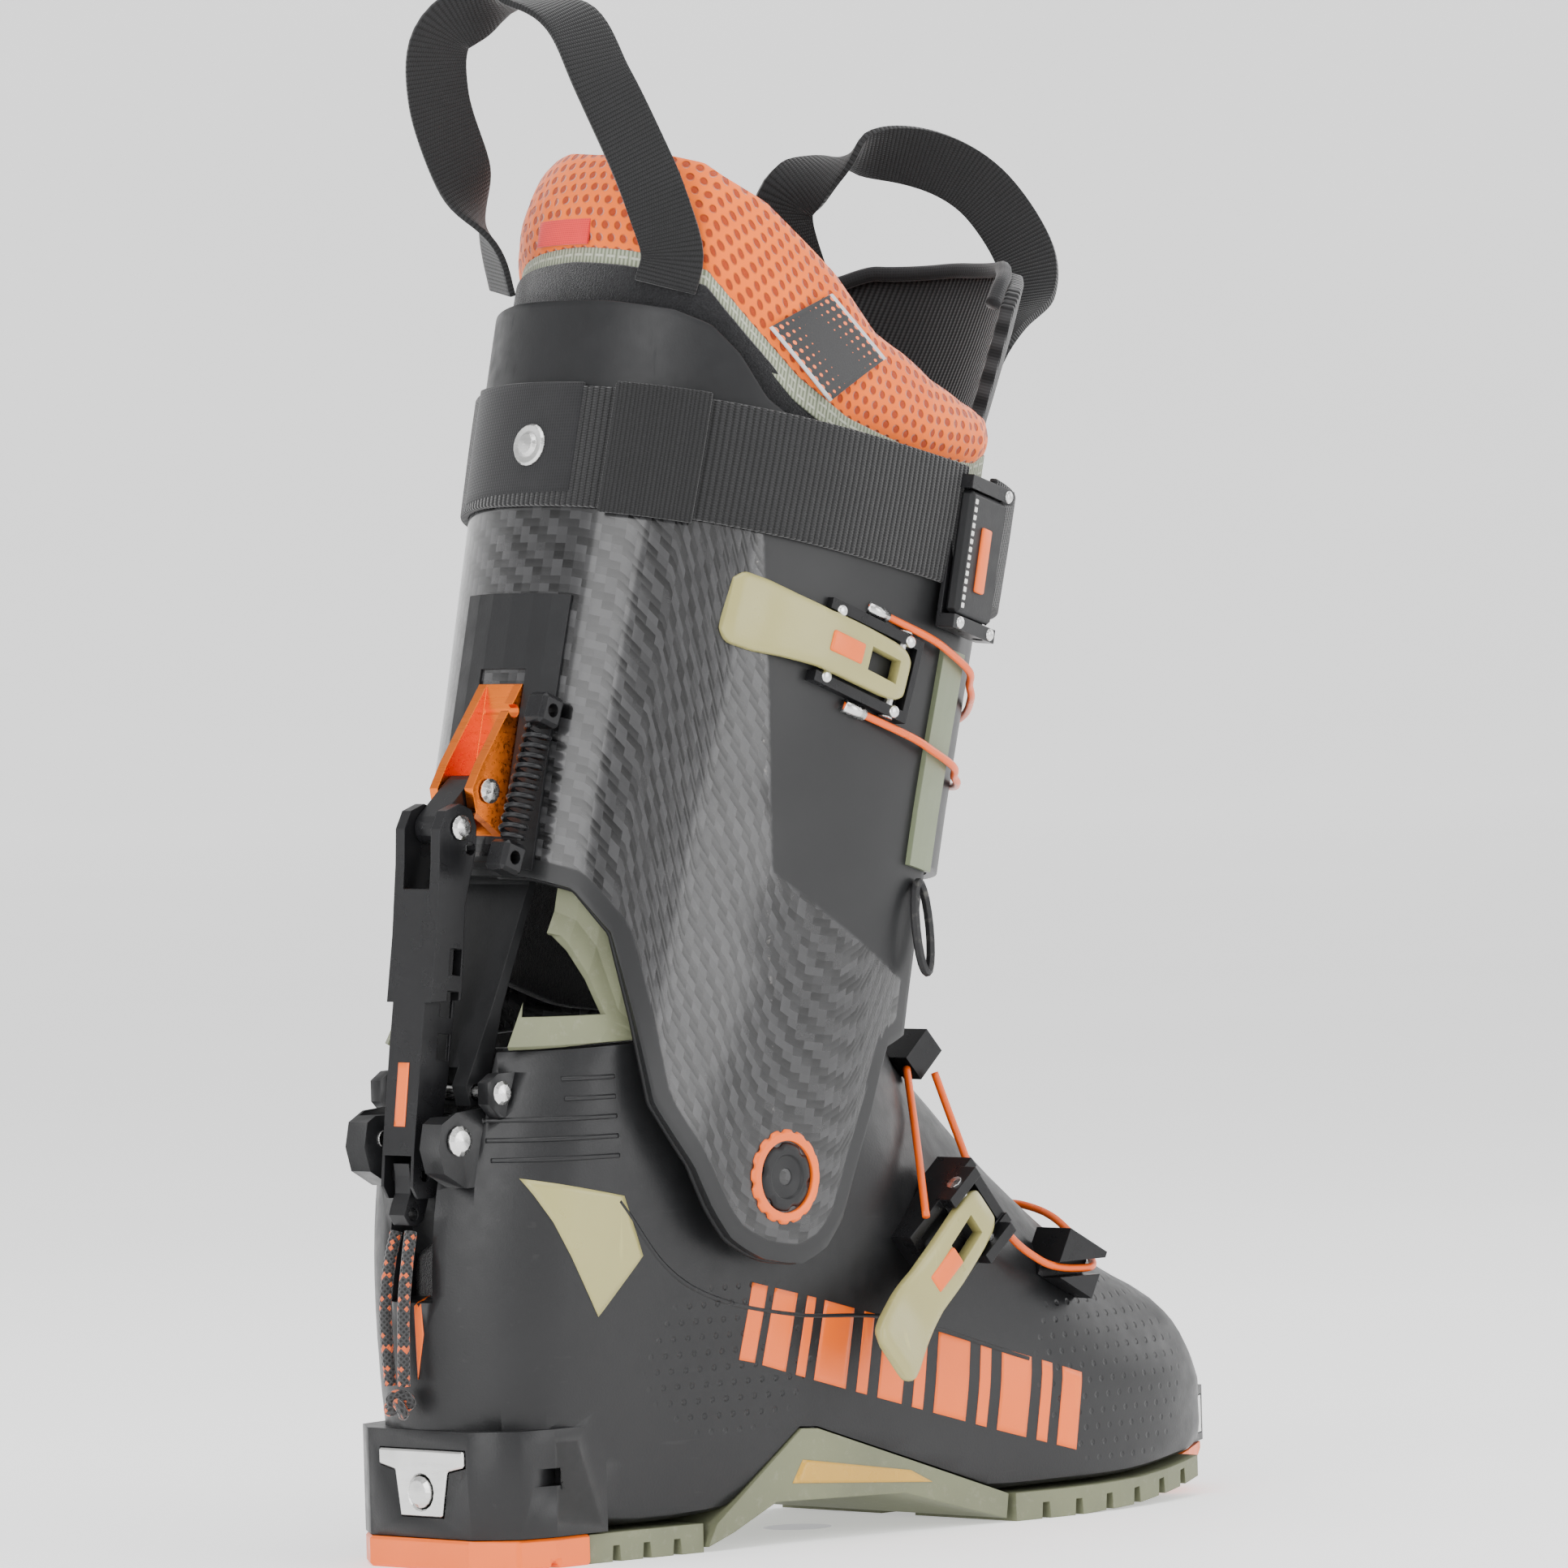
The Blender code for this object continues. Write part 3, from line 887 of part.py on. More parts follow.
loop_rear = [(80.0, -30.5, 362), (82.4, -31.0, 371.7), (77, -32.5, 385), (72.1, -31, 397.7), (62.7, -26, 421.1), (61.2, -14, 440), (55.3, 5, 444.8), (41.7, 17, 436.7),
             (45, 24, 418.4), (57.1, 27, 395.2), (66.0, 25.5, 376), (70.5, 25, 362)]
path = smooth_path(loop_rear, 30)
ctr = path.mean(axis=0)
wd = [(0.62, 0.78, 0.05) if i < 12 else (0.55 + 0.4 * (i - 12) / 18, 0.8 - 0.75 * min(1, (i - 12) / 8), 0.05) for i in range(30)]
# the webbing lies on the collar's outside at both roots, so both ends start clear of it


def loop_points(root_a, mids, root_b, n):
    return smooth_path([root_a] + mids + [root_b], n)


RA = np.array(section(-146, 258, -5.6))
RB = np.array(section(-205, 258, -5.6))
rp1 = loop_points(tuple(RA), [tuple(np.array(section(-147, 273, -4.6)))] + loop_rear[3:10] + [tuple(np.array(section(-206, 273, -3.8)))], tuple(RB), 30)
widths = []
for i in range(30):
    t = i / 29
    a = np.array([0.60, -0.80, 0.0]) * (1 - t) + np.array([0.25, 0.97, 0.0]) * t
    if 0.3 < t < 0.8:
        a = a * 0.3 + np.array([0.75, -0.55, 0.0]) * 0.7
    widths.append(tuple(a))
ta = np.array(section(-144, 262)) - np.array(section(-148, 262))
tb = np.array(section(-202, 262)) - np.array(section(-206, 262))
ta, tb = ta / np.linalg.norm(ta), tb / np.linalg.norm(tb)
widths = []
for i in range(30):
    t = i / 29
    mid = np.array([0.9, -0.42, 0.0])
    k = 1 - abs(2 * t - 1)
    k = min(1, k * 2.2)
    end = ta if t < 0.5 else tb * (1 if tb.dot(mid) > 0 else -1)
    if end.dot(mid) < 0:
        end = -end
    widths.append(tuple(end * (1 - k) + mid * k))
ribbon("rear_pull_loop", rp1, widths, 18.0, 1.6, "webbing", origin=PIVOT)

front_mids = [(192, 38, 388), (203, 35, 396.0), (219, 29, 401.5), (236, 18, 400.0), (248, 6, 390.0), (252, -7, 371), (246, -13, 357), (233, -17, 348.0)]
fr_pts = [tuple(section(40, 262, -3.6)), tuple(section(38, 275, -0.8))] + front_mids + [tuple(section(-19, 256, -3.4)), tuple(section(-19, 249, -5.6))]
fp = smooth_path(fr_pts, 30)
ta = np.array(section(42, 262)) - np.array(section(38, 262))
tb = np.array(section(-22, 254)) - np.array(section(-16, 254))
ta, tb = ta / np.linalg.norm(ta), tb / np.linalg.norm(tb)
if ta[0] < 0:
    ta = -ta
fw = []
for i in range(30):
    t = i / 29
    mid = np.array([0.75, -0.45, 0.3]) * (1 - t) + np.array([0.35, -0.75, 0.2]) * t
    k = min(1, (1 - abs(2 * t - 1)) * 2.4)
    end = ta if t < 0.5 else tb
    if end.dot(mid) < 0:
        end = -end
    fw.append(tuple(end * (1 - k) + mid * k))
ribbon("front_pull_loop", fp, fw, 18.0, 1.6, "webbing", origin=PIVOT)
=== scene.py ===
"""Looks of the alpine touring boot: detailed skins, fabric, webbing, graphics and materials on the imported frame."""
import json
import math

import bmesh
import bpy
import numpy as np
from mathutils import Matrix, Vector
from mathutils.bvhtree import BVHTree


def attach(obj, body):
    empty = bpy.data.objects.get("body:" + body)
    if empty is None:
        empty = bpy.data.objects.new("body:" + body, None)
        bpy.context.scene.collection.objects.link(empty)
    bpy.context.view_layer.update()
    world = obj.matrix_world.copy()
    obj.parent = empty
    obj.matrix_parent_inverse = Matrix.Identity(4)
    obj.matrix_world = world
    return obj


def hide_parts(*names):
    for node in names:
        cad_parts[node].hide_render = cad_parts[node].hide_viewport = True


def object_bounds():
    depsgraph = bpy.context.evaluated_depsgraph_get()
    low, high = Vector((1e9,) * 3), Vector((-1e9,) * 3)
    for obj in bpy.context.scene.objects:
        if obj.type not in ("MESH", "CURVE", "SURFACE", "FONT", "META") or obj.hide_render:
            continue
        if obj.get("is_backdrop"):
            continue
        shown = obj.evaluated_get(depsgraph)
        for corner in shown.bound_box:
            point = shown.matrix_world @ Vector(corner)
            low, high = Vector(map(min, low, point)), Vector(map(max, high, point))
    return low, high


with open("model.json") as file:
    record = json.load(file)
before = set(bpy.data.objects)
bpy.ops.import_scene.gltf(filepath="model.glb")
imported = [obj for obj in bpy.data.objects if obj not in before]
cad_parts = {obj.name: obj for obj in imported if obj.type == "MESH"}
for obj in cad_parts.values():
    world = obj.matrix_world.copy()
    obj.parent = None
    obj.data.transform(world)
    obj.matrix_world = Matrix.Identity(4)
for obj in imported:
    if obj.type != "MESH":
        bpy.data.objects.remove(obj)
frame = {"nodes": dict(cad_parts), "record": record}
_b0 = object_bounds()
OFF = np.array([-147.5, 2.2466, 0.0])          # the part's working frame (mm) to the world
LEAN = math.radians(13.5)
F = np.array([math.cos(LEAN), 0, -math.sin(LEAN)])
S = np.array([math.sin(LEAN), 0, math.cos(LEAN)])
Y = np.array([0.0, 1.0, 0.0])
P0 = np.array([94.0, 0.0, 107.0])


def Wm(p):
    return (np.asarray(p, float) + OFF) * 0.001


def L2W(u, y, w):
    return P0 + F * u + Y * y + S * w


# ---- camera ----------------------------------------------------------------------------------
AZ, PITCH, ROLL = math.radians(44.5), math.radians(1.56), math.radians(1.6)
d0 = np.array([math.sin(AZ), math.cos(AZ), 0.0])
r0 = np.array([math.cos(AZ), -math.sin(AZ), 0.0])
look = d0 * math.cos(PITCH) - np.array([0, 0, 1.0]) * math.sin(PITCH)
u0 = np.cross(r0, look)
right = r0 * math.cos(ROLL) - u0 * math.sin(ROLL)
up = u0 * math.cos(ROLL) + r0 * math.sin(ROLL)
cam = bpy.data.cameras.new("photo_view")
cam.lens, cam.sensor_width, cam.clip_end = 279.5, 36.0, 60.0
cam_ob = bpy.data.objects.new("photo_view", cam)
cam_ob.matrix_world = Matrix.Translation(Vector(Wm([-2339.7, -2536.3, 313.9]))) @ Matrix(
    [[right[i], up[i], -look[i], 0] for i in range(3)] + [[0, 0, 0, 1]])
bpy.context.scene.collection.objects.link(cam_ob)
bpy.context.scene.camera = cam_ob


# ---- materials -------------------------------------------------------------------------------
class Mat:
    """A node material with short helpers; object coordinates are metres in the row frame."""

    def __init__(self, name):
        self.m = bpy.data.materials.new(name)
        self.m.use_nodes = True
        self.t = self.m.node_tree
        self.b = self.t.nodes["Principled BSDF"]
        self.tc = self.t.nodes.new("ShaderNodeTexCoord")

    def n(self, kind, **kw):
        x = self.t.nodes.new("ShaderNode" + kind)
        for k, v in kw.items():
            if k == "ins":
                for i, q in v.items():
                    if isinstance(q, bpy.types.NodeSocket):
                        self.t.links.new(q, x.inputs[i])
                    else:
                        x.inputs[i].default_value = q
            else:
                setattr(x, k, v)
        return x

    def math(self, op, a, b=0.0, c=None, clamp=False):
        x = self.n("Math", operation=op, use_clamp=clamp, ins={0: a, 1: b})
        if c is not None:
            if isinstance(c, bpy.types.NodeSocket):
                self.t.links.new(c, x.inputs[2])
            else:
                x.inputs[2].default_value = c
        return x.outputs[0]

    def noise(self, scale, detail=3.0, rough=0.5, vec=None, stretch=None):
        v = vec or self.tc.outputs["Object"]
        if stretch:
            mp = self.n("Mapping", ins={0: v, 3: stretch})
            v = mp.outputs[0]
        return self.n("TexNoise", ins={"Vector": v, "Scale": scale, "Detail": detail, "Roughness": rough}).outputs[0]

    def ramp(self, fac, a, b, lo=0.3, hi=0.7):
        return self.n("MapRange", clamp=True, ins={0: fac, 1: lo, 2: hi, 3: a, 4: b}).outputs[0]

    def mix(self, fac, a, b):
        x = self.n("Mix", data_type="RGBA")
        for i, q in ((0, fac), (6, a), (7, b)):
            if isinstance(q, bpy.types.NodeSocket):
                self.t.links.new(q, x.inputs[i])
            else:
                x.inputs[i].default_value = q
        return x.outputs[2]

    def bump(self, height, dist, strength=1.0, under=None, bevel=0.0):
        x = self.n("Bump", ins={"Height": height, "Distance": dist, "Strength": strength})
        if under is not None:
            self.t.links.new(under, x.inputs["Normal"])
        elif bevel:
            bv = self.n("Bevel", samples=4, ins={0: bevel})
            self.t.links.new(bv.outputs[0], x.inputs["Normal"])
        return x.outputs[0]

    def put(self, **kw):
        names = {"col": "Base Color", "rough": "Roughness", "metal": "Metallic", "coat": "Coat Weight", "coat_rough": "Coat Roughness",
                 "sheen": "Sheen Weight", "sheen_rough": "Sheen Roughness", "normal": "Normal", "spec": "Specular IOR Level",
                 "aniso": "Anisotropic", "sss": "Subsurface Weight"}
        for k, v in kw.items():
            s = self.b.inputs[names[k]]
            if isinstance(v, bpy.types.NodeSocket):
                self.t.links.new(v, s)
            else:
                s.default_value = v
        return self.m


def rgba(r, g, b):
    return (r, g, b, 1.0)


def mul(c, k):
    return (min(c[0] * k, 1), min(c[1] * k, 1), min(c[2] * k, 1), 1.0)


def moulded(name, col, rough=0.42, grain=1400, depth=0.00005, vary=0.18, spec=0.5, coat=0.0, bevel=0.0004, metal=0.0):
    """Moulded plastic: fine grain, faint flow marks, small scuffs."""
    m = Mat(name)
    big, mid, fine = m.noise(18, 4), m.noise(160, 3), m.noise(grain, 2)
    scr = m.noise(260, 2, 0.7, stretch=(1, 1, 0.08))
    c = m.mix(m.ramp(big, 0.0, 1.0), mul(col, 1 - vary), mul(col, 1 + vary))
    c = m.mix(m.ramp(scr, 0.0, 0.22, 0.66, 0.74), c, mul(col, 1.9))
    r = m.math("ADD", m.ramp(mid, rough - 0.06, rough + 0.07), m.ramp(scr, 0.0, 0.1, 0.62, 0.72))
    return m.put(col=c, rough=r, spec=spec, coat=coat, coat_rough=0.12, metal=metal, normal=m.bump(fine, depth, 0.6, bevel=bevel))


def metal(name, col, rough=0.25, aniso=0.0, vary=0.12, bevel=0.0004):
    m = Mat(name)
    brush = m.noise(900, 2, 0.6, stretch=(1.0, 0.05, 1.0))
    big = m.noise(60, 3)
    c = m.mix(m.ramp(big, 0, 1), mul(col, 1 - vary), mul(col, 1 + vary))
    return m.put(col=c, rough=m.ramp(brush, rough - 0.07, rough + 0.1), metal=1.0, aniso=aniso, normal=m.bump(brush, 0.00002, 0.5, bevel=bevel))


def rubber(name, col, rough=0.62):
    m = Mat(name)
    big, fine = m.noise(40, 4), m.noise(2200, 2)
    c = m.mix(m.ramp(big, 0, 1), mul(col, 0.85), mul(col, 1.12))
    dust = m.noise(300, 4, 0.7)
    c = m.mix(m.ramp(dust, 0.0, 0.12, 0.55, 0.75), c, rgba(0.5, 0.48, 0.42))
    return m.put(col=c, rough=m.ramp(big, rough - 0.08, rough + 0.08), spec=0.4, normal=m.bump(fine, 0.00006, 0.7, bevel=0.0005))


def uvs(m):
    """u and v in mm, from the piece's UV map in metres."""
    s = m.n("SeparateXYZ", ins={0: m.tc.outputs["UV"]})
    return m.math("MULTIPLY", s.outputs[0], 1000.0), m.math("MULTIPLY", s.outputs[1], 1000.0)


def wave(m, x, period):
    return m.math("MULTIPLY_ADD", m.math("SINE", m.math("MULTIPLY", x, 2 * math.pi / period)), 0.5, 0.5)


def woven(name, col, pitch=1.9, cross=0.8, depth=0.0004, rough=0.8, sheen=0.25, light=2.6, across=True):
    """Ribbed webbing: ribs across the strap, threads along it."""
    m = Mat(name)
    u, v = uvs(m)
    a, b = (u, v) if across else (v, u)
    rib = m.math("POWER", wave(m, a, pitch), 0.6)
    th = wave(m, m.math("ADD", b, m.math("MULTIPLY", m.math("FLOOR", m.math("DIVIDE", a, pitch)), cross * 0.5)), cross)
    h = m.math("ADD", rib, m.math("MULTIPLY", th, 0.45))
    big = m.noise(70, 3)
    # colour follows the rib and thread height: painted highlight on the crowns and painted shade in the troughs between
    # them
    c = m.mix(m.ramp(h, 0.0, 1.0, 0.3, 1.35), mul(col, 0.35), mul(col, light))
    c = m.mix(m.ramp(big, 0, 0.3), c, mul(col, 0.7))
    return m.put(col=c, rough=rough, sheen=sheen, sheen_rough=0.4, spec=0.3, normal=m.bump(h, depth, 0.9))


BLACK = rgba(0.009, 0.0092, 0.010)
ORANGE = rgba(0.84, 0.125, 0.0)
KHAKI = rgba(0.33, 0.30, 0.115)
OLIVE = rgba(0.15, 0.16, 0.095)
M = {
    "plastic_black": moulded("black_moulded", BLACK, 0.42, spec=0.28),
    "rim_black": moulded("rim_moulded", rgba(0.006, 0.006, 0.0065), 0.48, spec=0.24),
    "rubber_black": rubber("black_rubber", rgba(0.010, 0.010, 0.011), 0.6),
    "metal_black": moulded("black_anodised", rgba(0.010, 0.010, 0.011), 0.3, 2400, 0.00003, spec=0.3, metal=0.2),
    "orange_plastic": moulded("orange_moulded", ORANGE, 0.36, vary=0.07),
    "orange_metal": metal("orange_anodised", rgba(0.86, 0.19, 0.02), 0.3, vary=0.06),
    "olive_rubber": rubber("olive_rubber", OLIVE, 0.58),
    "khaki": moulded("khaki_moulded", KHAKI, 0.33, vary=0.06, coat=0.12),
    "steel": metal("brushed_steel", rgba(0.66, 0.66, 0.65), 0.22, 0.4),
    "cable_orange": moulded("coated_cable", rgba(0.78, 0.10, 0.0), 0.32, 3000, vary=0.1),
    "rail": moulded("olive_rail", rgba(0.15, 0.175, 0.105), 0.38, vary=0.08),
    "amber": moulded("amber_strip", rgba(0.5, 0.28, 0.03), 0.3, vary=0.1),
    "webbing": woven("strap_webbing", rgba(0.009, 0.009, 0.0095)),
    "loop": woven("loop_webbing", rgba(0.008, 0.008, 0.0085), 1.2, 0.7, 0.0002, light=2.0),
}


def shell_material():
    """Satin shell plastic with moulded dimple fields on both ends of the lateral side."""
    m = Mat("shell_moulded")
    sep = m.n("SeparateXYZ", ins={0: m.tc.outputs["Object"]})
    x, y, z = (m.math("MULTIPLY", o, 1000.0) for o in sep.outputs)
    fine, big, mid = m.noise(1500, 2), m.noise(16, 4), m.noise(190, 3)
    # dimples: a hexagonal field of small round pits
    row = m.math("FLOOR", m.math("DIVIDE", z, 4.6))
    xs = m.math("ADD", x, m.math("MULTIPLY", m.math("MODULO", m.math("ABSOLUTE", row), 2.0), 2.65))
    fx = m.math("SUBTRACT", m.math("FRACT", m.math("DIVIDE", m.math("ADD", xs, 530.0), 5.3)), 0.5)
    fz = m.math("SUBTRACT", m.math("FRACT", m.math("DIVIDE", z, 4.6)), 0.5)
    d = m.math("SQRT", m.math("ADD", m.math("MULTIPLY", m.math("POWER", fx, 2.0), 1.3), m.math("POWER", fz, 2.0)))
    pit = m.ramp(d, 1.0, 0.0, 0.10, 0.22)

    def patch(cx, cz, rx, rz):
        a = m.math("POWER", m.math("DIVIDE", m.math("SUBTRACT", x, cx), rx), 2.0)
        b = m.math("POWER", m.math("DIVIDE", m.math("SUBTRACT", z, cz), rz), 2.0)
        return m.ramp(m.math("ADD", a, b), 1.0, 0.0, 0.65, 1.0)

    area = m.math("MAXIMUM", patch(-62.0, 56.0, 34.0, 24.0), patch(90.0, 42.0, 38.0, 30.0))
    pit = m.math("MULTIPLY", pit, area)
    h = m.math("SUBTRACT", m.math("MULTIPLY", fine, 0.12), pit)
    c = m.mix(m.ramp(big, 0, 1), rgba(0.0075, 0.0077, 0.0085), rgba(0.0125, 0.0127, 0.0135))
    scr = m.noise(240, 2, 0.75, stretch=(0.12, 1, 1))
    c = m.mix(m.ramp(scr, 0.0, 0.2, 0.68, 0.76), c, rgba(0.035, 0.035, 0.036))
    return m.put(col=c, rough=m.ramp(mid, 0.33, 0.45), spec=0.3, coat=0.04, coat_rough=0.3, normal=m.bump(h, 0.00045, 0.8))


def cuff_material():
    """Carbon twill under gloss behind the seam, satin plastic in front, a matte rim along the lower edge.  UV in metres: arc length and height."""
    m = Mat("cuff_carbon_twill")
    u, v = uvs(m)
    sep = m.n("SeparateXYZ", ins={0: m.tc.outputs["Object"]})
    x, z = m.math("MULTIPLY", sep.outputs[0], 1000.0), m.math("MULTIPLY", sep.outputs[2], 1000.0)
    T = 3.3
    a, b = m.math("DIVIDE", m.math("ADD", u, 400.0), T), m.math("DIVIDE", m.math("ADD", v, 200.0), T * 0.72)
    ia, ib = m.math("FLOOR", a), m.math("FLOOR", b)
    k = m.math("MODULO", m.math("ADD", m.math("SUBTRACT", ia, ib), 400.0), 4.0)
    over = m.math("LESS_THAN", k, 2.0)
    fa, fb = m.math("FRACT", a), m.math("FRACT", b)
    ca = m.math("SINE", m.math("MULTIPLY", fa, math.pi))
    cb = m.math("SINE", m.math("MULTIPLY", fb, math.pi))
    crown = m.math("ADD", m.math("MULTIPLY", over, ca), m.math("MULTIPLY", m.math("SUBTRACT", 1.0, over), cb))
    cell = m.n("TexWhiteNoise", noise_dimensions="2D", ins={0: m.n("CombineXYZ", ins={0: ia, 1: ib}).outputs[0]}).outputs[0]
    fil = m.noise(2500, 2, 0.6)
    # over-cells brighter than under-cells: painted sheen standing in for the tows' anisotropic reflection; the per-cell
    # and fine noise are random tone
    lev = m.math("MULTIPLY_ADD", over, 0.55, m.math("MULTIPLY_ADD", cell, 0.45, m.math("MULTIPLY", fil, 0.25)))
    carbon = m.mix(m.ramp(lev, 0, 1, 0.2, 1.1), rgba(0.0015, 0.0015, 0.0017), rgba(0.034, 0.034, 0.0355))
    # zones
    n_seam = m.math("ADD", m.math("MULTIPLY", m.noise(500, 2), 1.2), -0.6)
    xf = m.math("ADD", x, n_seam)
    front = m.ramp(xf, 0.0, 1.0, -55.8, -54.8)
    diag = m.ramp(m.math("SUBTRACT", z, m.math("MULTIPLY_ADD", x, -0.62, 160.0)), 0.0, 1.0, -0.6, 0.6)
    zone = m.math("MULTIPLY", front, diag)
    rim_d = m.n("Attribute", attribute_name="rim").outputs["Fac"]
    rim = m.ramp(rim_d, 1.0, 0.0, 0.0052, 0.0058)
    top = m.ramp(v, 0.0, 1.0, 199.0, 200.0)
    plain = m.math("MAXIMUM", m.math("MAXIMUM", zone, rim), m.math("MULTIPLY", top, 0.0), clamp=True)
    sat = m.mix(m.ramp(m.noise(20, 4), 0, 1), rgba(0.009, 0.0092, 0.0098), rgba(0.0145, 0.0148, 0.0155))
    col = m.mix(plain, carbon, sat)
    worn = m.ramp(m.noise(330, 3, 0.7), 0.0, 0.35, 0.6, 0.72)
    edge = m.math("MULTIPLY", m.math("MULTIPLY", m.ramp(xf, 1.0, 0.0, -57.2, -56.0), m.ramp(xf, 0.0, 1.0, -58.2, -57.4)), worn)
    col = m.mix(m.math("MULTIPLY", edge, m.math("SUBTRACT", 1.0, rim)), col, rgba(0.35, 0.33, 0.3))
    rough = m.math("ADD", m.math("MULTIPLY", plain, 0.16), m.math("MULTIPLY_ADD", m.noise(120, 3), 0.1, 0.2))
    bh = m.math("ADD", m.math("MULTIPLY", m.math("MULTIPLY", crown, m.math("SUBTRACT", 1.0, plain)), 0.35), m.math("MULTIPLY", m.noise(1500, 2), 0.1))
    mat = m.put(col=col, rough=rough, spec=0.3, coat=0.4, coat_rough=0.09, normal=m.bump(bh, 0.00022, 0.6))
    m.t.links.new(m.math("MULTIPLY_ADD", plain, -0.52, 0.55), m.b.inputs["Coat Weight"])
    return mat


def mesh_fabric():
    """Spacer mesh: rows of hexagonal holes in orange knit."""
    m = Mat("spacer_mesh_orange")
    u, v = uvs(m)
    pu, pv = 4.1, 3.55
    row = m.math("FLOOR", m.math("DIVIDE", v, pv))
    us = m.math("ADD", u, m.math("MULTIPLY", m.math("MODULO", m.math("ADD", row, 400.0), 2.0), pu / 2))
    fu = m.math("SUBTRACT", m.math("FRACT", m.math("DIVIDE", m.math("ADD", us, 820.0), pu)), 0.5)
    fv = m.math("SUBTRACT", m.math("FRACT", m.math("DIVIDE", m.math("ADD", v, 710.0), pv)), 0.5)
    d = m.math("SQRT", m.math("ADD", m.math("POWER", fu, 2.0), m.math("MULTIPLY", m.math("POWER", fv, 2.0), 0.8)))
    hole = m.ramp(d, 1.0, 0.0, 0.22, 0.33)
    knit = m.noise(3200, 2, 0.6)
    h = m.math("SUBTRACT", m.math("MULTIPLY", knit, 0.15), m.math("MULTIPLY", hole, 1.0))
    base = m.mix(m.ramp(m.noise(60, 3), 0, 1), rgba(0.82, 0.125, 0.004), rgba(0.9, 0.16, 0.008))
    # the holes are painted dark red: painted shade inside the holes
    c = m.mix(hole, base, rgba(0.28, 0.02, 0.003))
    c = m.mix(m.math("MULTIPLY", knit, 0.25), c, rgba(0.9, 0.2, 0.04))
    return m.put(col=c, rough=0.85, sheen=0.35, sheen_rough=0.4, spec=0.25, normal=m.bump(h, 0.0007, 0.9))


def fleece():
    m = Mat("black_fleece")
    a, b = m.noise(1500, 4, 0.8), m.noise(60, 3)
    c = m.mix(m.ramp(a, 0, 1), rgba(0.006, 0.006, 0.0065), rgba(0.028, 0.028, 0.03))
    return m.put(col=c, rough=0.95, sheen=0.5, sheen_rough=0.35, spec=0.15, normal=m.bump(m.math("ADD", a, b), 0.0007, 0.8))


def knit_black():
    m = Mat("ribbed_knit")
    u, v = uvs(m)
    rib = wave(m, m.math("ADD", u, m.math("MULTIPLY", v, 0.2)), 1.5)
    st = wave(m, v, 0.9)
    h = m.math("ADD", rib, m.math("MULTIPLY", st, 0.3))
    # colour follows the rib height: painted shade in the grooves between ribs, lighter crowns
    c = m.mix(m.ramp(h, 0, 1, 0.2, 1.2), rgba(0.005, 0.005, 0.0055), rgba(0.03, 0.03, 0.031))
    return m.put(col=c, rough=0.88, sheen=0.45, sheen_rough=0.4, spec=0.2, normal=m.bump(h, 0.00025, 0.8))


def binding():
    m = Mat("ribbed_binding")
    u, v = uvs(m)
    rib = wave(m, u, 1.35)
    stitch = m.math("MULTIPLY", m.math("GREATER_THAN", m.math("FRACT", m.math("DIVIDE", u, 4.2)), 0.28), 1.0)
    rows = m.math("ADD", m.ramp(m.math("ABSOLUTE", m.math("SUBTRACT", v, 2.1)), 1.0, 0.0, 0.25, 0.5), m.ramp(m.math("ABSOLUTE", m.math("SUBTRACT", v, 4.9)), 1.0, 0.0, 0.25, 0.5))
    s = m.math("MULTIPLY", rows, stitch)
    h = m.math("ADD", m.math("MULTIPLY", rib, 0.6), s)
    # colour follows the rib height: painted shade in the rib grooves; the stitch rows below are the thread's own colour
    c = m.mix(m.ramp(rib, 0, 1, 0.1, 0.9), rgba(0.15, 0.17, 0.115), rgba(0.36, 0.385, 0.29))
    c = m.mix(s, c, rgba(0.43, 0.45, 0.36))
    return m.put(col=c, rough=0.8, sheen=0.25, sheen_rough=0.4, spec=0.25, normal=m.bump(h, 0.0003, 0.8))


def cloth(name, col, scale=0.9, depth=0.0001):
    m = Mat(name)
    u, v = uvs(m)
    a, b = wave(m, u, scale), wave(m, v, scale)
    h = m.math("MAXIMUM", a, b)
    n = m.noise(90, 3)
    # colour follows the weave height plus random tone: painted shade in the weave's hollows, lighter crowns
    c = m.mix(m.ramp(m.math("ADD", h, n), 0, 1, 0.6, 1.5), mul(col, 0.7), mul(col, 1.3))
    return m.put(col=c, rough=0.85, sheen=0.3, sheen_rough=0.4, spec=0.25, normal=m.bump(h, depth, 0.7))


def cord_mat():
    """Braided cord, black with orange flecks."""
    m = Mat("braided_cord")
    u, v = uvs(m)
    a = wave(m, m.math("ADD", u, v), 1.7)
    b = wave(m, m.math("SUBTRACT", u, v), 1.7)
    h = m.math("MAXIMUM", a, b)
    fl = m.math("GREATER_THAN", m.n("TexWhiteNoise", noise_dimensions="2D", ins={0: m.n("CombineXYZ", ins={
        0: m.math("FLOOR", m.math("DIVIDE", m.math("ADD", u, v), 1.7)), 1: m.math("FLOOR", m.math("DIVIDE", m.math("SUBTRACT", u, v), 1.7))}).outputs[0]}).outputs[0], 0.84)
    # colour follows the braid height: painted shade between the strands, lighter crowns
    c = m.mix(m.ramp(h, 0, 1, 0.3, 1.0), rgba(0.004, 0.004, 0.004), rgba(0.035, 0.035, 0.036))
    c = m.mix(fl, c, rgba(0.6, 0.1, 0.02))
    return m.put(col=c, rough=0.8, sheen=0.3, sheen_rough=0.4, normal=m.bump(h, 0.0003, 0.9))


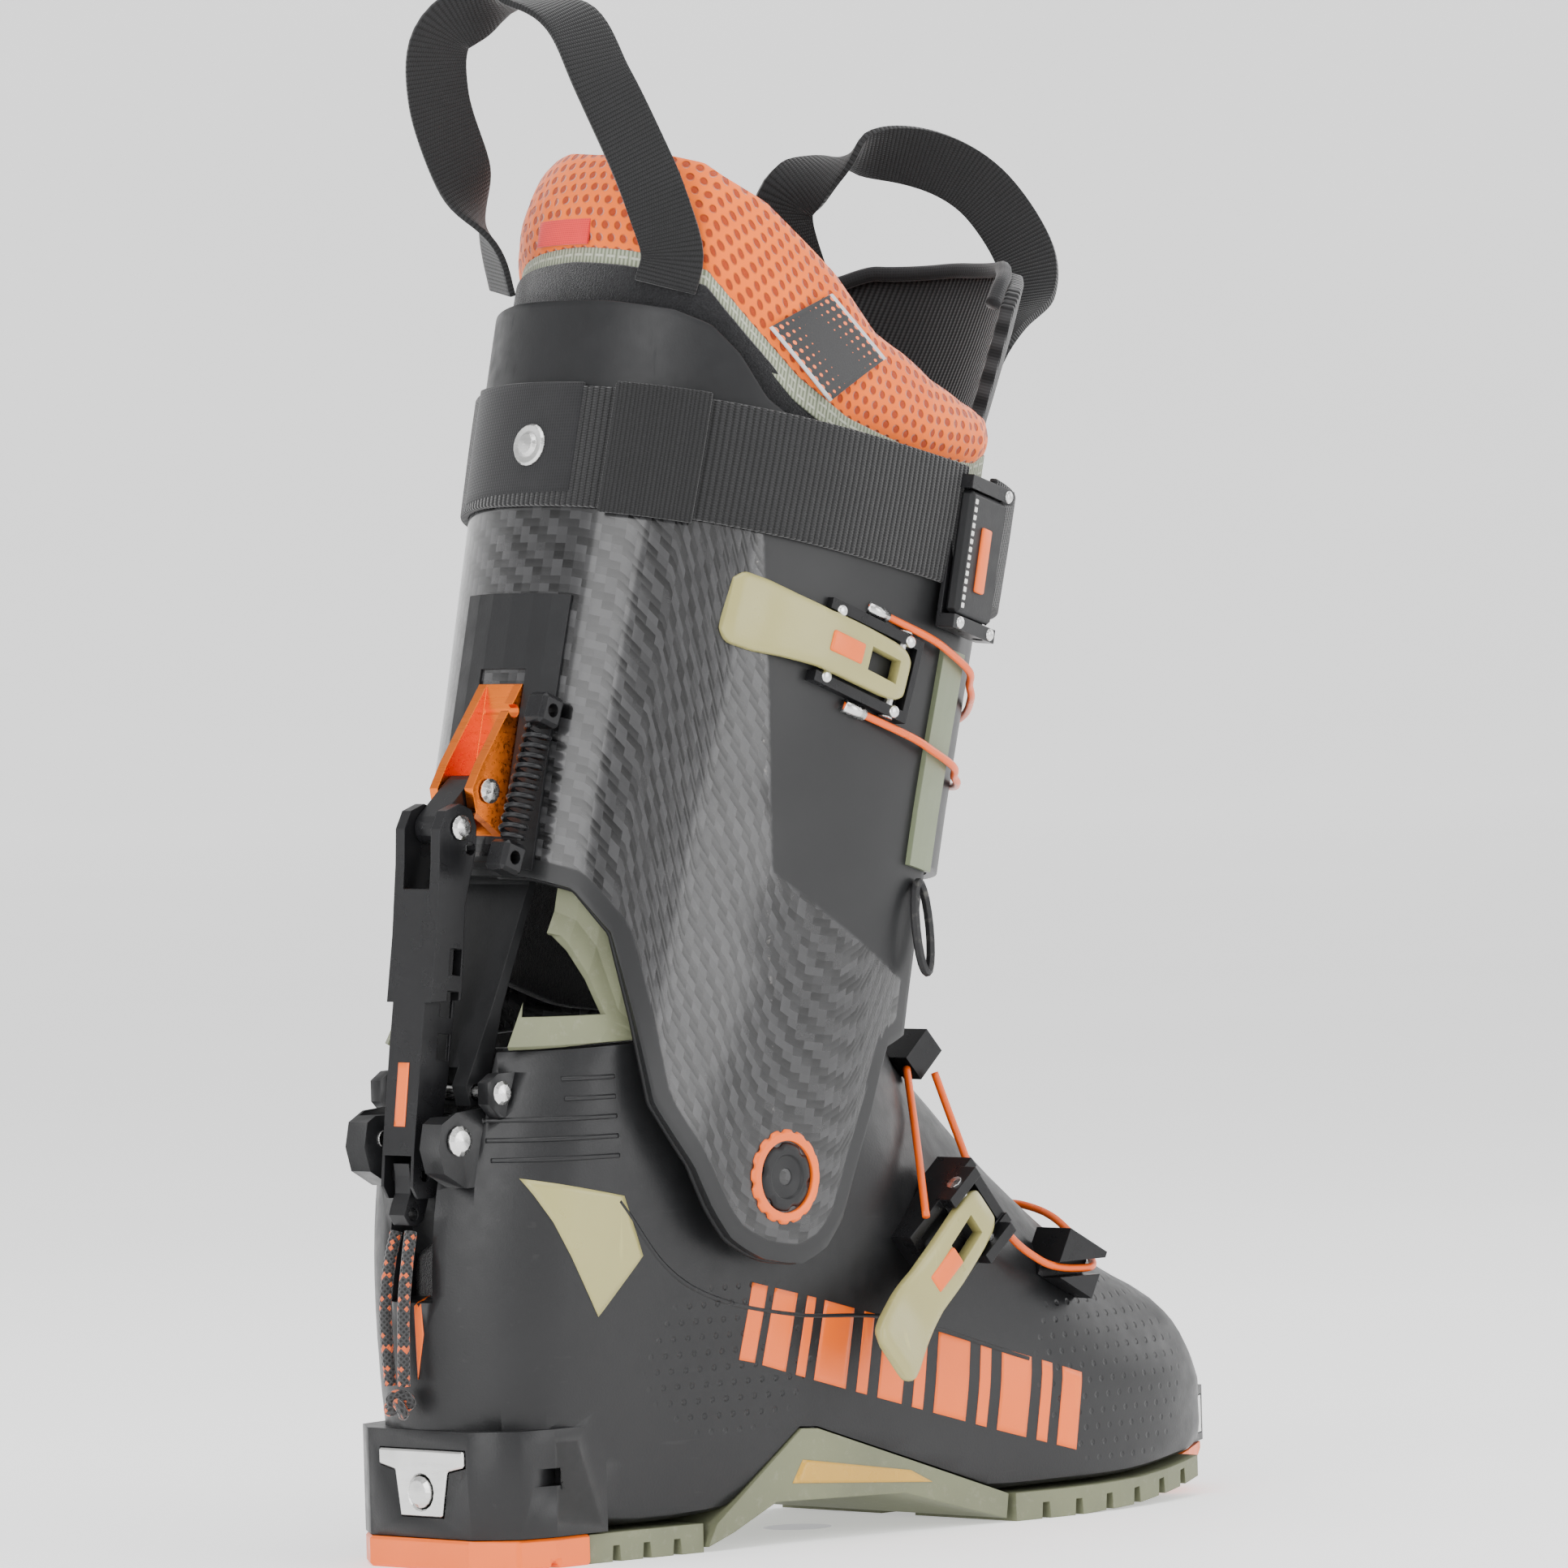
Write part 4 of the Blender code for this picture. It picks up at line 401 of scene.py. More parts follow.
def label_mat():
    """Black woven label with a field of orange dots and silver edge lines."""
    m = Mat("dotted_label")
    s = m.n("SeparateXYZ", ins={0: m.tc.outputs["UV"]})
    a, b = s.outputs[0], s.outputs[1]
    fu = m.math("SUBTRACT", m.math("FRACT", m.math("MULTIPLY", a, 9.0)), 0.5)
    fv = m.math("SUBTRACT", m.math("FRACT", m.math("MULTIPLY", b, 11.0)), 0.5)
    d = m.math("SQRT", m.math("ADD", m.math("POWER", fu, 2.0), m.math("POWER", fv, 2.0)))
    size = m.ramp(m.math("SUBTRACT", m.math("ABSOLUTE", m.math("SUBTRACT", b, 0.5)), m.math("MULTIPLY", a, 0.1)), 0.0, 0.34, 0.05, 0.45)
    dot = m.math("LESS_THAN", d, size)
    line = m.math("GREATER_THAN", m.math("ABSOLUTE", m.math("SUBTRACT", b, 0.5)), 0.455)
    c = m.mix(m.noise(2500, 2), rgba(0.008, 0.008, 0.009), rgba(0.022, 0.022, 0.023))
    c = m.mix(dot, c, rgba(0.85, 0.16, 0.03))
    c = m.mix(line, c, rgba(0.55, 0.55, 0.56))
    return m.put(col=c, rough=0.6, sheen=0.15, normal=m.bump(m.noise(2500, 2), 0.0001, 0.5))


M.update(shell=shell_material(), cuff=cuff_material(), mesh=mesh_fabric(), fleece=fleece(), knit=knit_black(), binding=binding(),
         piping=cloth("orange_piping", rgba(0.8, 0.09, 0.008), 0.7, 0.00006), black_cloth=cloth("black_cloth", rgba(0.012, 0.012, 0.013), 0.9),
         red_tag=cloth("red_tag", rgba(0.62, 0.03, 0.03), 0.6, 0.00005), cord=cord_mat(), label=label_mat())

NODE_MAT = {"shell_black": "plastic_black", "cuff_carbon": "plastic_black", "liner_black": "fleece", "liner_orange": "mesh"}
for s in frame["record"]["subparts"]:
    node, key = s["node"], s["material_slot"]
    ob = frame["nodes"][node]
    mat = M[NODE_MAT.get(key, key)]
    if node == "buckle_rail":
        mat = M["rail"]
    ob.data.materials.clear()
    ob.data.materials.append(mat)


# ---- geometry helpers (mm, working frame) -----------------------------------------------------
def mesh_ob(name, verts, faces, mats, uv=None, smooth=True, attrs=None, idx=None):
    me = bpy.data.meshes.new(name)
    me.from_pydata([tuple(Wm(v)) for v in verts], [], faces)
    me.update()
    if smooth:
        me.polygons.foreach_set("use_smooth", [True] * len(me.polygons))
    if uv is not None:
        lay = me.uv_layers.new(name="UVMap")
        for i, l in enumerate(me.loops):
            lay.data[i].uv = uv[i] if len(uv) == len(me.loops) and isinstance(uv, list) and False else uv[l.vertex_index]
    for an, vals in (attrs or {}).items():
        a = me.attributes.new(an, "FLOAT", "POINT")
        a.data.foreach_set("value", vals)
    for m in mats if isinstance(mats, (list, tuple)) else [mats]:
        me.materials.append(m)
    if idx:
        me.polygons.foreach_set("material_index", idx)
    ob = bpy.data.objects.new(name, me)
    bpy.context.scene.collection.objects.link(ob)
    return ob


def grid_ob(name, g, mat, thick=0.0, flip=False, closed=False, uvm=None, attrs=None, bevel=0.0, smooth=True):
    """A sheet through a grid of points g[i][j] (mm), solidified inwards by thick."""
    n, m = len(g), len(g[0])
    verts = [p for col in g for p in col]
    faces = []
    for i in range(n if closed else n - 1):
        for j in range(m - 1):
            a, b = i * m + j, ((i + 1) % n) * m + j
            f = (a, b, b + 1, a + 1)
            faces.append(f[::-1] if flip else f)
    if uvm is None:
        uvm = []
        G = [[np.array(p, float) for p in col] for col in g]
        mid = m // 2
        u = 0.0
        for i in range(n):
            if i:
                u += np.linalg.norm(G[i][mid] - G[i - 1][mid])
            v = 0.0
            for j in range(m):
                if j:
                    v += np.linalg.norm(G[i][j] - G[i][j - 1])
                uvm.append((u * 0.001, v * 0.001))
    ob = mesh_ob(name, verts, faces, mat, uvm, smooth, attrs)
    if thick:
        s = ob.modifiers.new("thick", "SOLIDIFY")
        s.thickness, s.offset, s.use_even_offset = thick * 0.001, -1.0, False
        if bevel:
            b = ob.modifiers.new("edge", "BEVEL")
            b.width, b.segments, b.limit_method, b.angle_limit = bevel * 0.001, 2, "ANGLE", math.radians(50)
    return ob


def smooth_path(pts, n, closed=False):
    P = [np.array(p, float) for p in pts]
    L = len(P)
    out = []
    segs = L if closed else L - 1
    for i in range(segs):
        p0 = P[(i - 1) % L] if closed or i > 0 else 2 * P[0] - P[1]
        p1, p2 = P[i % L], P[(i + 1) % L]
        p3 = P[(i + 2) % L] if closed or i + 2 < L else 2 * P[-1] - P[-2]
        for k in range(12):
            t = k / 12
            out.append(0.5 * ((2 * p1) + (-p0 + p2) * t + (2 * p0 - 5 * p1 + 4 * p2 - p3) * t * t + (-p0 + 3 * p1 - 3 * p2 + p3) * t ** 3))
    out.append(P[0] if closed else P[-1])
    d = [0.0]
    for a, b in zip(out, out[1:]):
        d.append(d[-1] + np.linalg.norm(b - a))
    ts = np.linspace(0, d[-1], n)
    O = np.array(out)
    return np.stack([np.interp(ts, d, O[:, k]) for k in range(3)], 1)


def tube_ob(name, pts, r, mat, seg=12, closed=False, flat=None):
    """Round tube along pts (mm) with UVs in metres; closed ends."""
    pts = np.asarray(pts, float)
    if closed:
        pts = pts[:-1]
    n = len(pts)
    verts, uv, faces = [], [], []
    nrm = None
    u = 0.0
    for i in range(n):
        t = pts[(i + 1) % n] - pts[i - 1] if closed else pts[min(i + 1, n - 1)] - pts[max(i - 1, 0)]
        t /= np.linalg.norm(t)
        if nrm is None:
            nrm = np.cross(t, [0.31, 0.2, 0.93])
        nrm = nrm - t * nrm.dot(t)
        nrm /= np.linalg.norm(nrm)
        bn = np.cross(t, nrm)
        if i:
            u += np.linalg.norm(pts[i] - pts[i - 1])
        rr = r(i / (n - 1)) if callable(r) else r
        for k in range(seg):
            a = 2 * math.pi * k / seg
            verts.append(pts[i] + rr * (nrm * math.cos(a) + bn * math.sin(a)))
            uv.append((u * 0.001, rr * a * 0.001))
    for i in range(n if closed else n - 1):
        j = (i + 1) % n
        for k in range(seg):
            faces.append((i * seg + k, i * seg + (k + 1) % seg, j * seg + (k + 1) % seg, j * seg + k))
    if not closed:
        faces.append(tuple(range(seg))[::-1])
        faces.append(tuple((n - 1) * seg + k for k in range(seg)))
    return mesh_ob(name, verts, faces, mat, uv)


def loft_ob(name, rings, mat, cap=True):
    n, m = len(rings), len(rings[0])
    verts = [p for r in rings for p in r]
    faces = [(i * m + j, i * m + (j + 1) % m, (i + 1) * m + (j + 1) % m, (i + 1) * m + j) for i in range(n - 1) for j in range(m)]
    if cap:
        faces.append(tuple(range(m))[::-1])
        faces.append(tuple((n - 1) * m + k for k in range(m)))
    ob = mesh_ob(name, verts, faces, mat, None, True)
    fix(ob)
    return ob


def fix(ob):
    bm = bmesh.new()
    bm.from_mesh(ob.data)
    bmesh.ops.recalc_face_normals(bm, faces=bm.faces)
    bm.to_mesh(ob.data)
    bm.free()


def prism_ob(name, pts, lo, hi, plane="XZ", mat=None):
    def at(p, q):
        return {"XZ": (p[0], q, p[1]), "XY": (p[0], p[1], q)}[plane]
    m = len(pts)
    verts = [at(p, lo) for p in pts] + [at(p, hi) for p in pts]
    faces = [tuple(range(m)), tuple(range(m, 2 * m))[::-1]] + [(i, (i + 1) % m, m + (i + 1) % m, m + i) for i in range(m)]
    ob = mesh_ob(name, verts, faces, mat or M["plastic_black"], None, False)
    fix(ob)
    return ob


def box_ob(name, size, c, ex=(1, 0, 0), ey=(0, 1, 0), ez=(0, 0, 1), mat=None, bevel=0.0):
    ex, ey, ez, c = (np.array(v, float) for v in (ex, ey, ez, c))
    vs = [c + ex * size[0] / 2 * sx + ey * size[1] / 2 * sy + ez * size[2] / 2 * sz for sx in (-1, 1) for sy in (-1, 1) for sz in (-1, 1)]
    fs = [(0, 1, 3, 2), (4, 6, 7, 5), (0, 4, 5, 1), (2, 3, 7, 6), (0, 2, 6, 4), (1, 5, 7, 3)]
    ob = mesh_ob(name, vs, fs, mat or M["plastic_black"], None, False)
    fix(ob)
    if bevel:
        b = ob.modifiers.new("edge", "BEVEL")
        b.width, b.segments = bevel * 0.001, 3
        ob.data.polygons.foreach_set("use_smooth", [True] * len(ob.data.polygons))
    return ob


def turned_ob(name, prof, c, axis, mat, seg=40, teeth=None):
    ax = np.array(axis, float)
    ax /= np.linalg.norm(ax)
    e1 = np.cross(ax, [0.3, 0.1, 0.9])
    e1 /= np.linalg.norm(e1)
    e2 = np.cross(ax, e1)
    rings = []
    for r, h in prof:
        ring = []
        for k in range(seg):
            a = 2 * math.pi * k / seg
            rr = max(r, 0.02)
            if teeth and r > teeth[0]:
                rr -= teeth[1] * (1 if (k % teeth[2]) < teeth[3] else 0)
            ring.append(np.array(c, float) + e1 * rr * math.cos(a) + e2 * rr * math.sin(a) + ax * h)
        rings.append(ring)
    ob = loft_ob(name, rings, mat)
    b = ob.modifiers.new("edge", "BEVEL")
    b.width, b.segments, b.limit_method, b.angle_limit = 0.00025, 2, "ANGLE", math.radians(35)
    return ob


def cutter_of(ob, tools, ops):
    for t, op in zip(tools, ops):
        b = ob.modifiers.new("bool", "BOOLEAN")
        b.operation, b.solver, b.object = op, "EXACT", t
    bpy.context.view_layer.update()
    dg = bpy.context.evaluated_depsgraph_get()
    me = bpy.data.meshes.new_from_object(ob.evaluated_get(dg), preserve_all_data_layers=True, depsgraph=dg)
    ob.modifiers.clear()
    ob.data = me
    for t in tools:
        bpy.data.objects.remove(t)
    return ob


def put(ob, body, slot, *gone):
    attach(ob, body)
    if gone:
        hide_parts(*gone)
    return ob


def tree_of(*obs):
    dg = bpy.context.evaluated_depsgraph_get()
    vs, fs = [], []
    for o in obs:
        e = o.evaluated_get(dg)
        me = e.to_mesh()
        base = len(vs)
        mw = o.matrix_world
        vs += [tuple(mw @ v.co) for v in me.vertices]
        fs += [tuple(base + i for i in p.vertices) for p in me.polygons]
        e.to_mesh_clear()
    return BVHTree.FromPolygons([Vector(v) for v in vs], fs)


def drape_pts(tree, pts, direction, lift):
    """World hits (back to mm) of points cast along direction (mm frame)."""
    out = []
    d = Vector(direction).normalized()
    last = None
    for p in pts:
        o = Vector(Wm(p)) - d * 0.12
        hit, nrm, _, _ = tree.ray_cast(o, d, 0.3)
        if hit is None:
            out.append(last if last is not None else np.array(p, float))
            continue
        if nrm.dot(d) > 0:
            nrm = -nrm
        q = np.array(hit) * 1000 - OFF + np.array(nrm) * lift
        last = q
        out.append(q)
    return out


def patch_ob(name, tree, corners, mat, lift, thick, n=(14, 10), direction=(0, 1, 0), edge=None):
    """A thin decal draped on the surface inside four corners (x, z pairs, or 3-D points)."""
    A, B, C, D = [np.array((c[0], 0, c[1]) if len(c) == 2 else c, float) for c in corners]
    g = []
    for i in range(n[0] + 1):
        s = i / n[0]
        lo, hi = A * (1 - s) + B * s, D * (1 - s) + C * s
        col = [lo * (1 - j / n[1]) + hi * (j / n[1]) for j in range(n[1] + 1)]
        g.append(col)
    flat = [p for col in g for p in col]
    hits = drape_pts(tree, flat, direction, lift)
    m = n[1] + 1
    gg = [hits[i * m:(i + 1) * m] for i in range(n[0] + 1)]
    uvm = [(i / n[0], j / n[1]) for i in range(n[0] + 1) for j in range(n[1] + 1)]
    ob = grid_ob(name, gg, mat, 0, uvm=uvm)
    outward = -np.array(direction, float)
    c = sum((np.array(p.normal) for p in ob.data.polygons), np.zeros(3))
    if c.dot(outward) < 0:
        ob.data.flip_normals()
    s = ob.modifiers.new("thick", "SOLIDIFY")
    s.thickness, s.offset = thick * 0.001, -1.0
    return ob


CUFF_A, CUFF_UC = 79.5, -2.5
LATERAL_EDGE, FLAP_END = -61.0, -436.0


# ---- lower shell's form ----------------------------------------------------------------------
# One line per station, toe to top: the section's lowest point (x, z), its highest point (x, z),
# and the length and power of the rounding at each end.
STATIONS = [
    (293.5, 33, 291.5, 47, 7, 2.2, 7, 2.2),
    (292.5, 20, 288, 56, 8, 2.6, 14, 2.2),
    (285, 13, 280, 64, 6, 3.6, 24, 2.2),
    (266, 11, 262, 72, 6, 4.6, 36, 2.1),
    (241, 9, 240, 85, 6, 5, 50, 2.1),
    (212, 8.7, 216, 106, 6, 5, 70, 2.0),
    (182, 9.0, 198, 124, 6, 5, 82, 1.95),
    (150, 13.0, 187, 135, 6, 5, 80, 1.95),
    (112, 14.0, 181, 141, 6, 5, 70, 2.0),
    (75, 9.5, 179, 144, 7, 4.5, 62, 2.0),
    (38, 9, 178, 146, 9, 3.4, 60, 2.0),
    (12, 12, 177, 148, 20, 2.4, 58, 2.0),
    (3, 27, 177, 149, 27, 2.1, 57, 2.0),
    (-1, 50, 176.5, 150, 30, 2.05, 56, 2.0),
    (-2.6, 77, 176, 151, 31, 2.0, 56, 2.0),
    (-1, 100, 176, 151.5, 31, 2.0, 56, 2.0),
    (4, 122, 175.5, 152, 30, 2.0, 56, 2.0),
    (13, 146, 175, 152.5, 28, 2.0, 56, 2.0),
]
W_X = [0, 20, 40, 75, 112, 150, 190, 215, 240, 265, 285, 296]
W_Z = [8, 40, 75, 107, 150, 190]
W_T = [
    [27, 31, 33.5, 36, 40, 44, 47.5, 49.5, 48, 42.5, 34, 25],
    [29, 33, 36, 38.5, 41, 44, 47.5, 49, 47, 42, 33, 24],
    [30, 36, 40, 43, 43.5, 43, 43.5, 43, 40, 36, 30, 24],
    [30, 37, 42, 45, 45, 42, 38, 34, 30, 28, 26, 24],
    [30, 36, 40, 43, 43, 39, 32, 28, 26, 26, 26, 24],
    [30, 35, 39, 42, 42, 38, 30, 26, 26, 26, 26, 24],
]


def half_width(x, z):
    cols = [np.interp(x, W_X, row) for row in W_T]
    return float(np.interp(z, W_Z, cols))


def shell_ring(st, inset=0.0, heel=0.0, n=(4, 4, 4)):
    bx, bz, tx, tz, rb, pb, rt, pt = st
    b, t = np.array([bx, bz], float), np.array([tx, tz], float)
    length = np.linalg.norm(t - b)
    e = (t - b) / length
    b, t = b + e * (inset + heel), t - e * inset
    length = np.linalg.norm(t - b)
    rt = min(rt, length * 0.6)
    prof = []
    for i in range(n[0]):
        a = math.pi / 2 * i / n[0]
        prof.append((rb * (1 - math.cos(a) ** (2 / pb)), math.sin(a) ** (2 / pb)))
    for i in range(n[1]):
        prof.append((rb + (length - rb - rt) * i / n[1], 1.0))
    for i in range(n[2] + 1):
        a = math.pi / 2 * (1 - i / n[2])
        prof.append((length - rt * (1 - math.cos(a) ** (2 / pt)), math.sin(a) ** (2 / pt)))
    side = []
    for d, g in prof:
        x, z = b + e * d
        side.append((x, max(half_width(x, z) - inset, 1.0) * g, z))
    right = [(x, -y, z) for x, y, z in side]
    left = [(x, y, z) for x, y, z in side[-2:0:-1]]
    return right + left


def shell_rings(inset=0.0, heel=0.0, toe=0.0, n=(4, 4, 4), top=0.0, floor=0.0):
    out = []
    for i, st in enumerate(STATIONS):
        st = list(st)
        if inset and i == 0:
            continue
        st[0] -= toe if i < 3 else toe * max(0, (6 - i)) / 4
        st[2] -= toe if i < 3 else toe * max(0, (6 - i)) / 4
        k = min(max((i - 8) / 6, 0), 1)
        st[1] += floor * (1 - k)
        out.append(shell_ring(st, inset, heel * k, n))
    if top:
        e = np.array([0.12, 0, 1.0])
        out.append([tuple(np.array(p) + e * top) for p in out[-1]])
    return out


def ring_shrunk(ring, d):
    c = np.mean(np.array(ring), axis=0)
    return [tuple(c + (np.array(p) - c) * (1 - d / 60.0)) for p in ring]


# ---- shaft's form ----------------------------------------------------------------------------
def section(th, w, off=0.0):
    """Point of the shaft's outer surface at angle th (0 front, -90 lateral, -180 rear), height w."""
    a = CUFF_A + off
    b = np.interp(w, [-30, 0, 60, 100, 150, 200, 240, 290], [52.5, 52.7, 53, 54, 57, 60, 61, 60]) + off
    p = np.interp(w, [-30, 0, 60, 120, 240], [2.9, 2.8, 2.6, 2.4, 2.3])
    c, s = math.cos(math.radians(th)), math.sin(math.radians(th))
    u = CUFF_UC + a * math.copysign(abs(c) ** (2 / p), c)
    y = b * math.copysign(abs(s) ** (2 / p), s)
    return L2W(u, y, w)


_LAT_BOTTOM = [(-60, 50), (-68.5, 44), (-71, 24), (-73.8, 9.8), (-76.3, -7.4), (-80, -17), (-85, -23), (-90, -24.5),
               (-95, -21), (-99.8, -14), (-106, -3), (-119, 12), (-128, 35), (-138, 58), (-151, 69), (-165, 71), (-180, 71)]
_MED_BOTTOM = [(-360 - t, w) for t, w in _LAT_BOTTOM[::-1]][1:]
_BOTTOM = sorted(_LAT_BOTTOM + _MED_BOTTOM + [(-304, 96), (-320, 100), (-360, 101), (FLAP_END, 101)])


def cuff_bottom(th):
    return float(np.interp(th, [a for a, _ in _BOTTOM], [b for _, b in _BOTTOM]))


def grid(ths, lo, hi, rows, off=0.0):
    """Columns of the shaft's surface at the angles ths, between heights lo(th) and hi(th)."""
    g = []
    for th in ths:
        o = off(th) if callable(off) else off
        g.append([section(th, lo(th) + (hi(th) - lo(th)) * k / rows, o) for k in range(rows + 1)])
    return g


def table(*pairs):
    xs, ys = [a for a, _ in sorted(pairs)], [b for _, b in sorted(pairs)]
    return lambda t: float(np.interp(t, xs, ys))


def both_sides(pairs):
    """Lateral table (-180 to 0) mirrored to the medial side (-360 to -180)."""
    return list(pairs) + [(-360 - a, b) for a, b in pairs if a != -180]


def rim_attr(g, lo_edge=True, side_edges=True):
    """Distance in metres of each grid point from the sheet's lower edge or its sides."""
    G = np.array([[np.array(p, float) for p in col] for col in g])
    n, m, _ = G.shape
    edge = [G[i][0] for i in range(n)]
    if side_edges:
        edge += [G[0][j] for j in range(m)]
    E = np.array(edge)
    # denser edge
    E = np.concatenate([E, (E[1:] + E[:-1]) / 2])
    out = []
    for i in range(n):
        for j in range(m):
            out.append(float(np.min(np.linalg.norm(E - G[i][j], axis=1))) * 0.001)
    return out


# ==== lower shell (dense) ======================================================================
NN = (7, 9, 9)


def dense(rings, k):
    """Rings interpolated k-fold along the body."""
    R = np.array(rings)
    n = len(R)
    out = []
    for i in range(n - 1):
        p0, p1, p2, p3 = R[max(i - 1, 0)], R[i], R[i + 1], R[min(i + 2, n - 1)]
        for q in range(k):
            t = q / k
            out.append(0.5 * ((2 * p1) + (-p0 + p2) * t + (2 * p0 - 5 * p1 + 4 * p2 - p3) * t * t + (-p0 + 3 * p1 - 3 * p2 + p3) * t ** 3))
    out.append(R[-1])
    return out


def short_toe(rings):
    out = []
    for r in rings:
        q = np.array(r, float)
        k = np.clip((q[:, 0] - 262) / 30, 0, 1) * np.clip((q[:, 2] - 34) / 12, 0, 1)
        q[:, 0] -= 4.5 * k
        out.append(q)
    return out


HEEL_PLAN = [(0, -21), (8.5, -32.5), (20, -35), (40, -35), (40, 35), (20, 35), (8.5, 32.5), (0, 21)]
TOE_PLAN = [(262, -30), (288, -27.5), (302, -19.5), (302, 19.5), (288, 27.5), (262, 30)]
shell = loft_ob("shell_body", short_toe(dense(shell_rings(n=NN), 3)), M["shell"])
tools = [prism_ob("t1", HEEL_PLAN, 9.0, 39.5, "XY"), prism_ob("t2", TOE_PLAN, 14.5, 31.0, "XY")]
ops = ["UNION", "UNION"]
EAR = [(12, 108), (3, 108.5), (-5, 113), (-7, 120), (-5.5, 127), (0, 130), (14, 131)]
for lo, hi in ((-19.5, -11.5), (11.5, 19.5)):
    tools.append(prism_ob("t3", EAR, lo, hi))
    ops.append("UNION")
for lo, hi in ((-24.5, -20.3), (20.3, 24.5)):
    tools.append(prism_ob("t4", [(24, 128), (12, 128), (8, 132), (8, 138), (12, 140.5), (26, 141)], lo, hi))
    ops.append("UNION")
cav = loft_ob("t5", shell_rings(4.0, heel=7.0, toe=9.0, top=6.0, n=(5, 6, 6)), M["plastic_black"])
CH = [(94 - 86.5 * math.cos(math.radians(a)), 107 + 86.5 * math.sin(math.radians(a))) for a in range(-20, 22, 2)]
tools += [cav, prism_ob("t6", CH + [(-20, 142), (-20, 74)], -8.8, 8.8)]
ops += ["DIFFERENCE", "DIFFERENCE"]


def outline(x0, x1, n, off=0.0, z=8):
    xs = [x0 + (x1 - x0) * i / n for i in range(n + 1)]
    return [(x, -(half_width(x, z) + off)) for x in xs] + [(x, half_width(x, z) + off) for x in reversed(xs)]


ac = prism_ob("t7", [(72, -2), (79.5, 8.6), (111.7, 33.6), (118.2, 33.2), (191, 8.6), (191, -2)], -60, 60)
cutter_of(ac, [prism_ob("t8", outline(60, 200, 7, -2.6, 20), 14.6, 70, "XY")], ["DIFFERENCE"])
tools.append(ac)
ops.append("DIFFERENCE")
T_PLAN = [(-19, 34), (16, 34), (16, 29.5), (9.5, 28), (7.5, 15), (-9.5, 15), (-12, 28), (-19, 29.5)]
tp = [(y + math.copysign(0.35, y + 1.5), z + math.copysign(0.35, z - 31)) for y, z in T_PLAN]
tv = [(-3, y, z) for y, z in tp] + [(4.5, y, z) for y, z in tp]
m8 = len(tp)
t9 = mesh_ob("t9", tv, [tuple(range(m8)), tuple(range(m8, 2 * m8))[::-1]] + [(i, (i + 1) % m8, m8 + (i + 1) % m8, m8 + i) for i in range(m8)],
             M["plastic_black"], None, False)
fix(t9)
tools += [t9, box_ob("t10", (12, 70, 11.6), (295, 0, 22.5))]
ops += ["DIFFERENCE", "DIFFERENCE"]
for side in (-1, 1):
    a = side * math.radians(-18)
    tools.append(box_ob("t11", (24, 4, 5), (14, side * 35.5, 26), ex=(math.cos(a), math.sin(a), 0), ey=(-math.sin(a), math.cos(a), 0)))
    ops.append("DIFFERENCE")
tools.append(box_ob("t12", (60, 37.0, 42.6), (-4, 0, 150)))
ops.append("DIFFERENCE")
cutter_of(shell, tools, ops)
for p in shell.data.polygons:
    p.use_smooth = True
w = shell.modifiers.new("corners", "BEVEL")
w.width, w.segments, w.limit_method, w.angle_limit = 0.0006, 2, "ANGLE", math.radians(42)
put(shell, "shell", "shell_black", "lower_shell")
shell_tree = tree_of(shell)

# ==== cuff (dense) =============================================================================
tuck = table((-300, 0.0), (-345, 0.0), (-405, -3.9), (-440, -3.9))
cg = grid(list(np.linspace(-61, -436, 220)), cuff_bottom, lambda t: 206.0, 60, tuck)
# the lateral flap: rounded lower front corner and slightly raised ridges under the surface
cuff = grid_ob("cuff_body", cg, M["cuff"], 3.0, attrs={"rim": rim_attr(cg)}, bevel=0.5)
put(cuff, "cuff", "cuff_carbon", "cuff_shell")
sp_top = table(*both_sides([(-180, 239), (-165, 239), (-148, 238), (-138, 235), (-130, 228), (-122, 217), (-114, 212)]))
sg = grid(list(np.linspace(-114, -246, 90)), lambda t: 206.4, sp_top, 16)
spo = grid_ob("spoiler_body", sg, M["plastic_black"], 3.0, bevel=0.6)
put(spo, "cuff", "cuff_carbon", "rear_spoiler")
cuff_tree = tree_of(cuff, spo)


def ridge(name, pts, off=0.1, r=0.9, mat=None):
    """A raised rib along (theta, w) points on the cuff."""
    path = smooth_path([section(t, w, off) for t, w in pts], 60)
    ob = tube_ob(name, path, r, mat or M["rim_black"], seg=10)
    return put(ob, "cuff", "cuff_carbon")


ridge("cuff_rib_step", [(-196, 153), (-180.6, 153), (-162.5, 153.2), (-141.7, 149.6), (-123.6, 145.8), (-107.9, 140.2)], -0.2, 0.8)
ridge("cuff_rib_mid", [(-132.3, 126.3), (-118.1, 125.8), (-112.5, 98), (-108.4, 70)], -0.3, 0.9)
ridge("cuff_rib_low", [(-90.9, 48.4), (-84.7, 31.4), (-84, 22)], -0.3, 0.8)
edge = [section(t, cuff_bottom(t) + 0.4, -0.6) for t in np.linspace(-63, -176, 90)]
put(tube_ob("cuff_rim_lip", smooth_path(edge, 160), 1.0, M["rim_black"], seg=10), "cuff", "cuff_carbon")

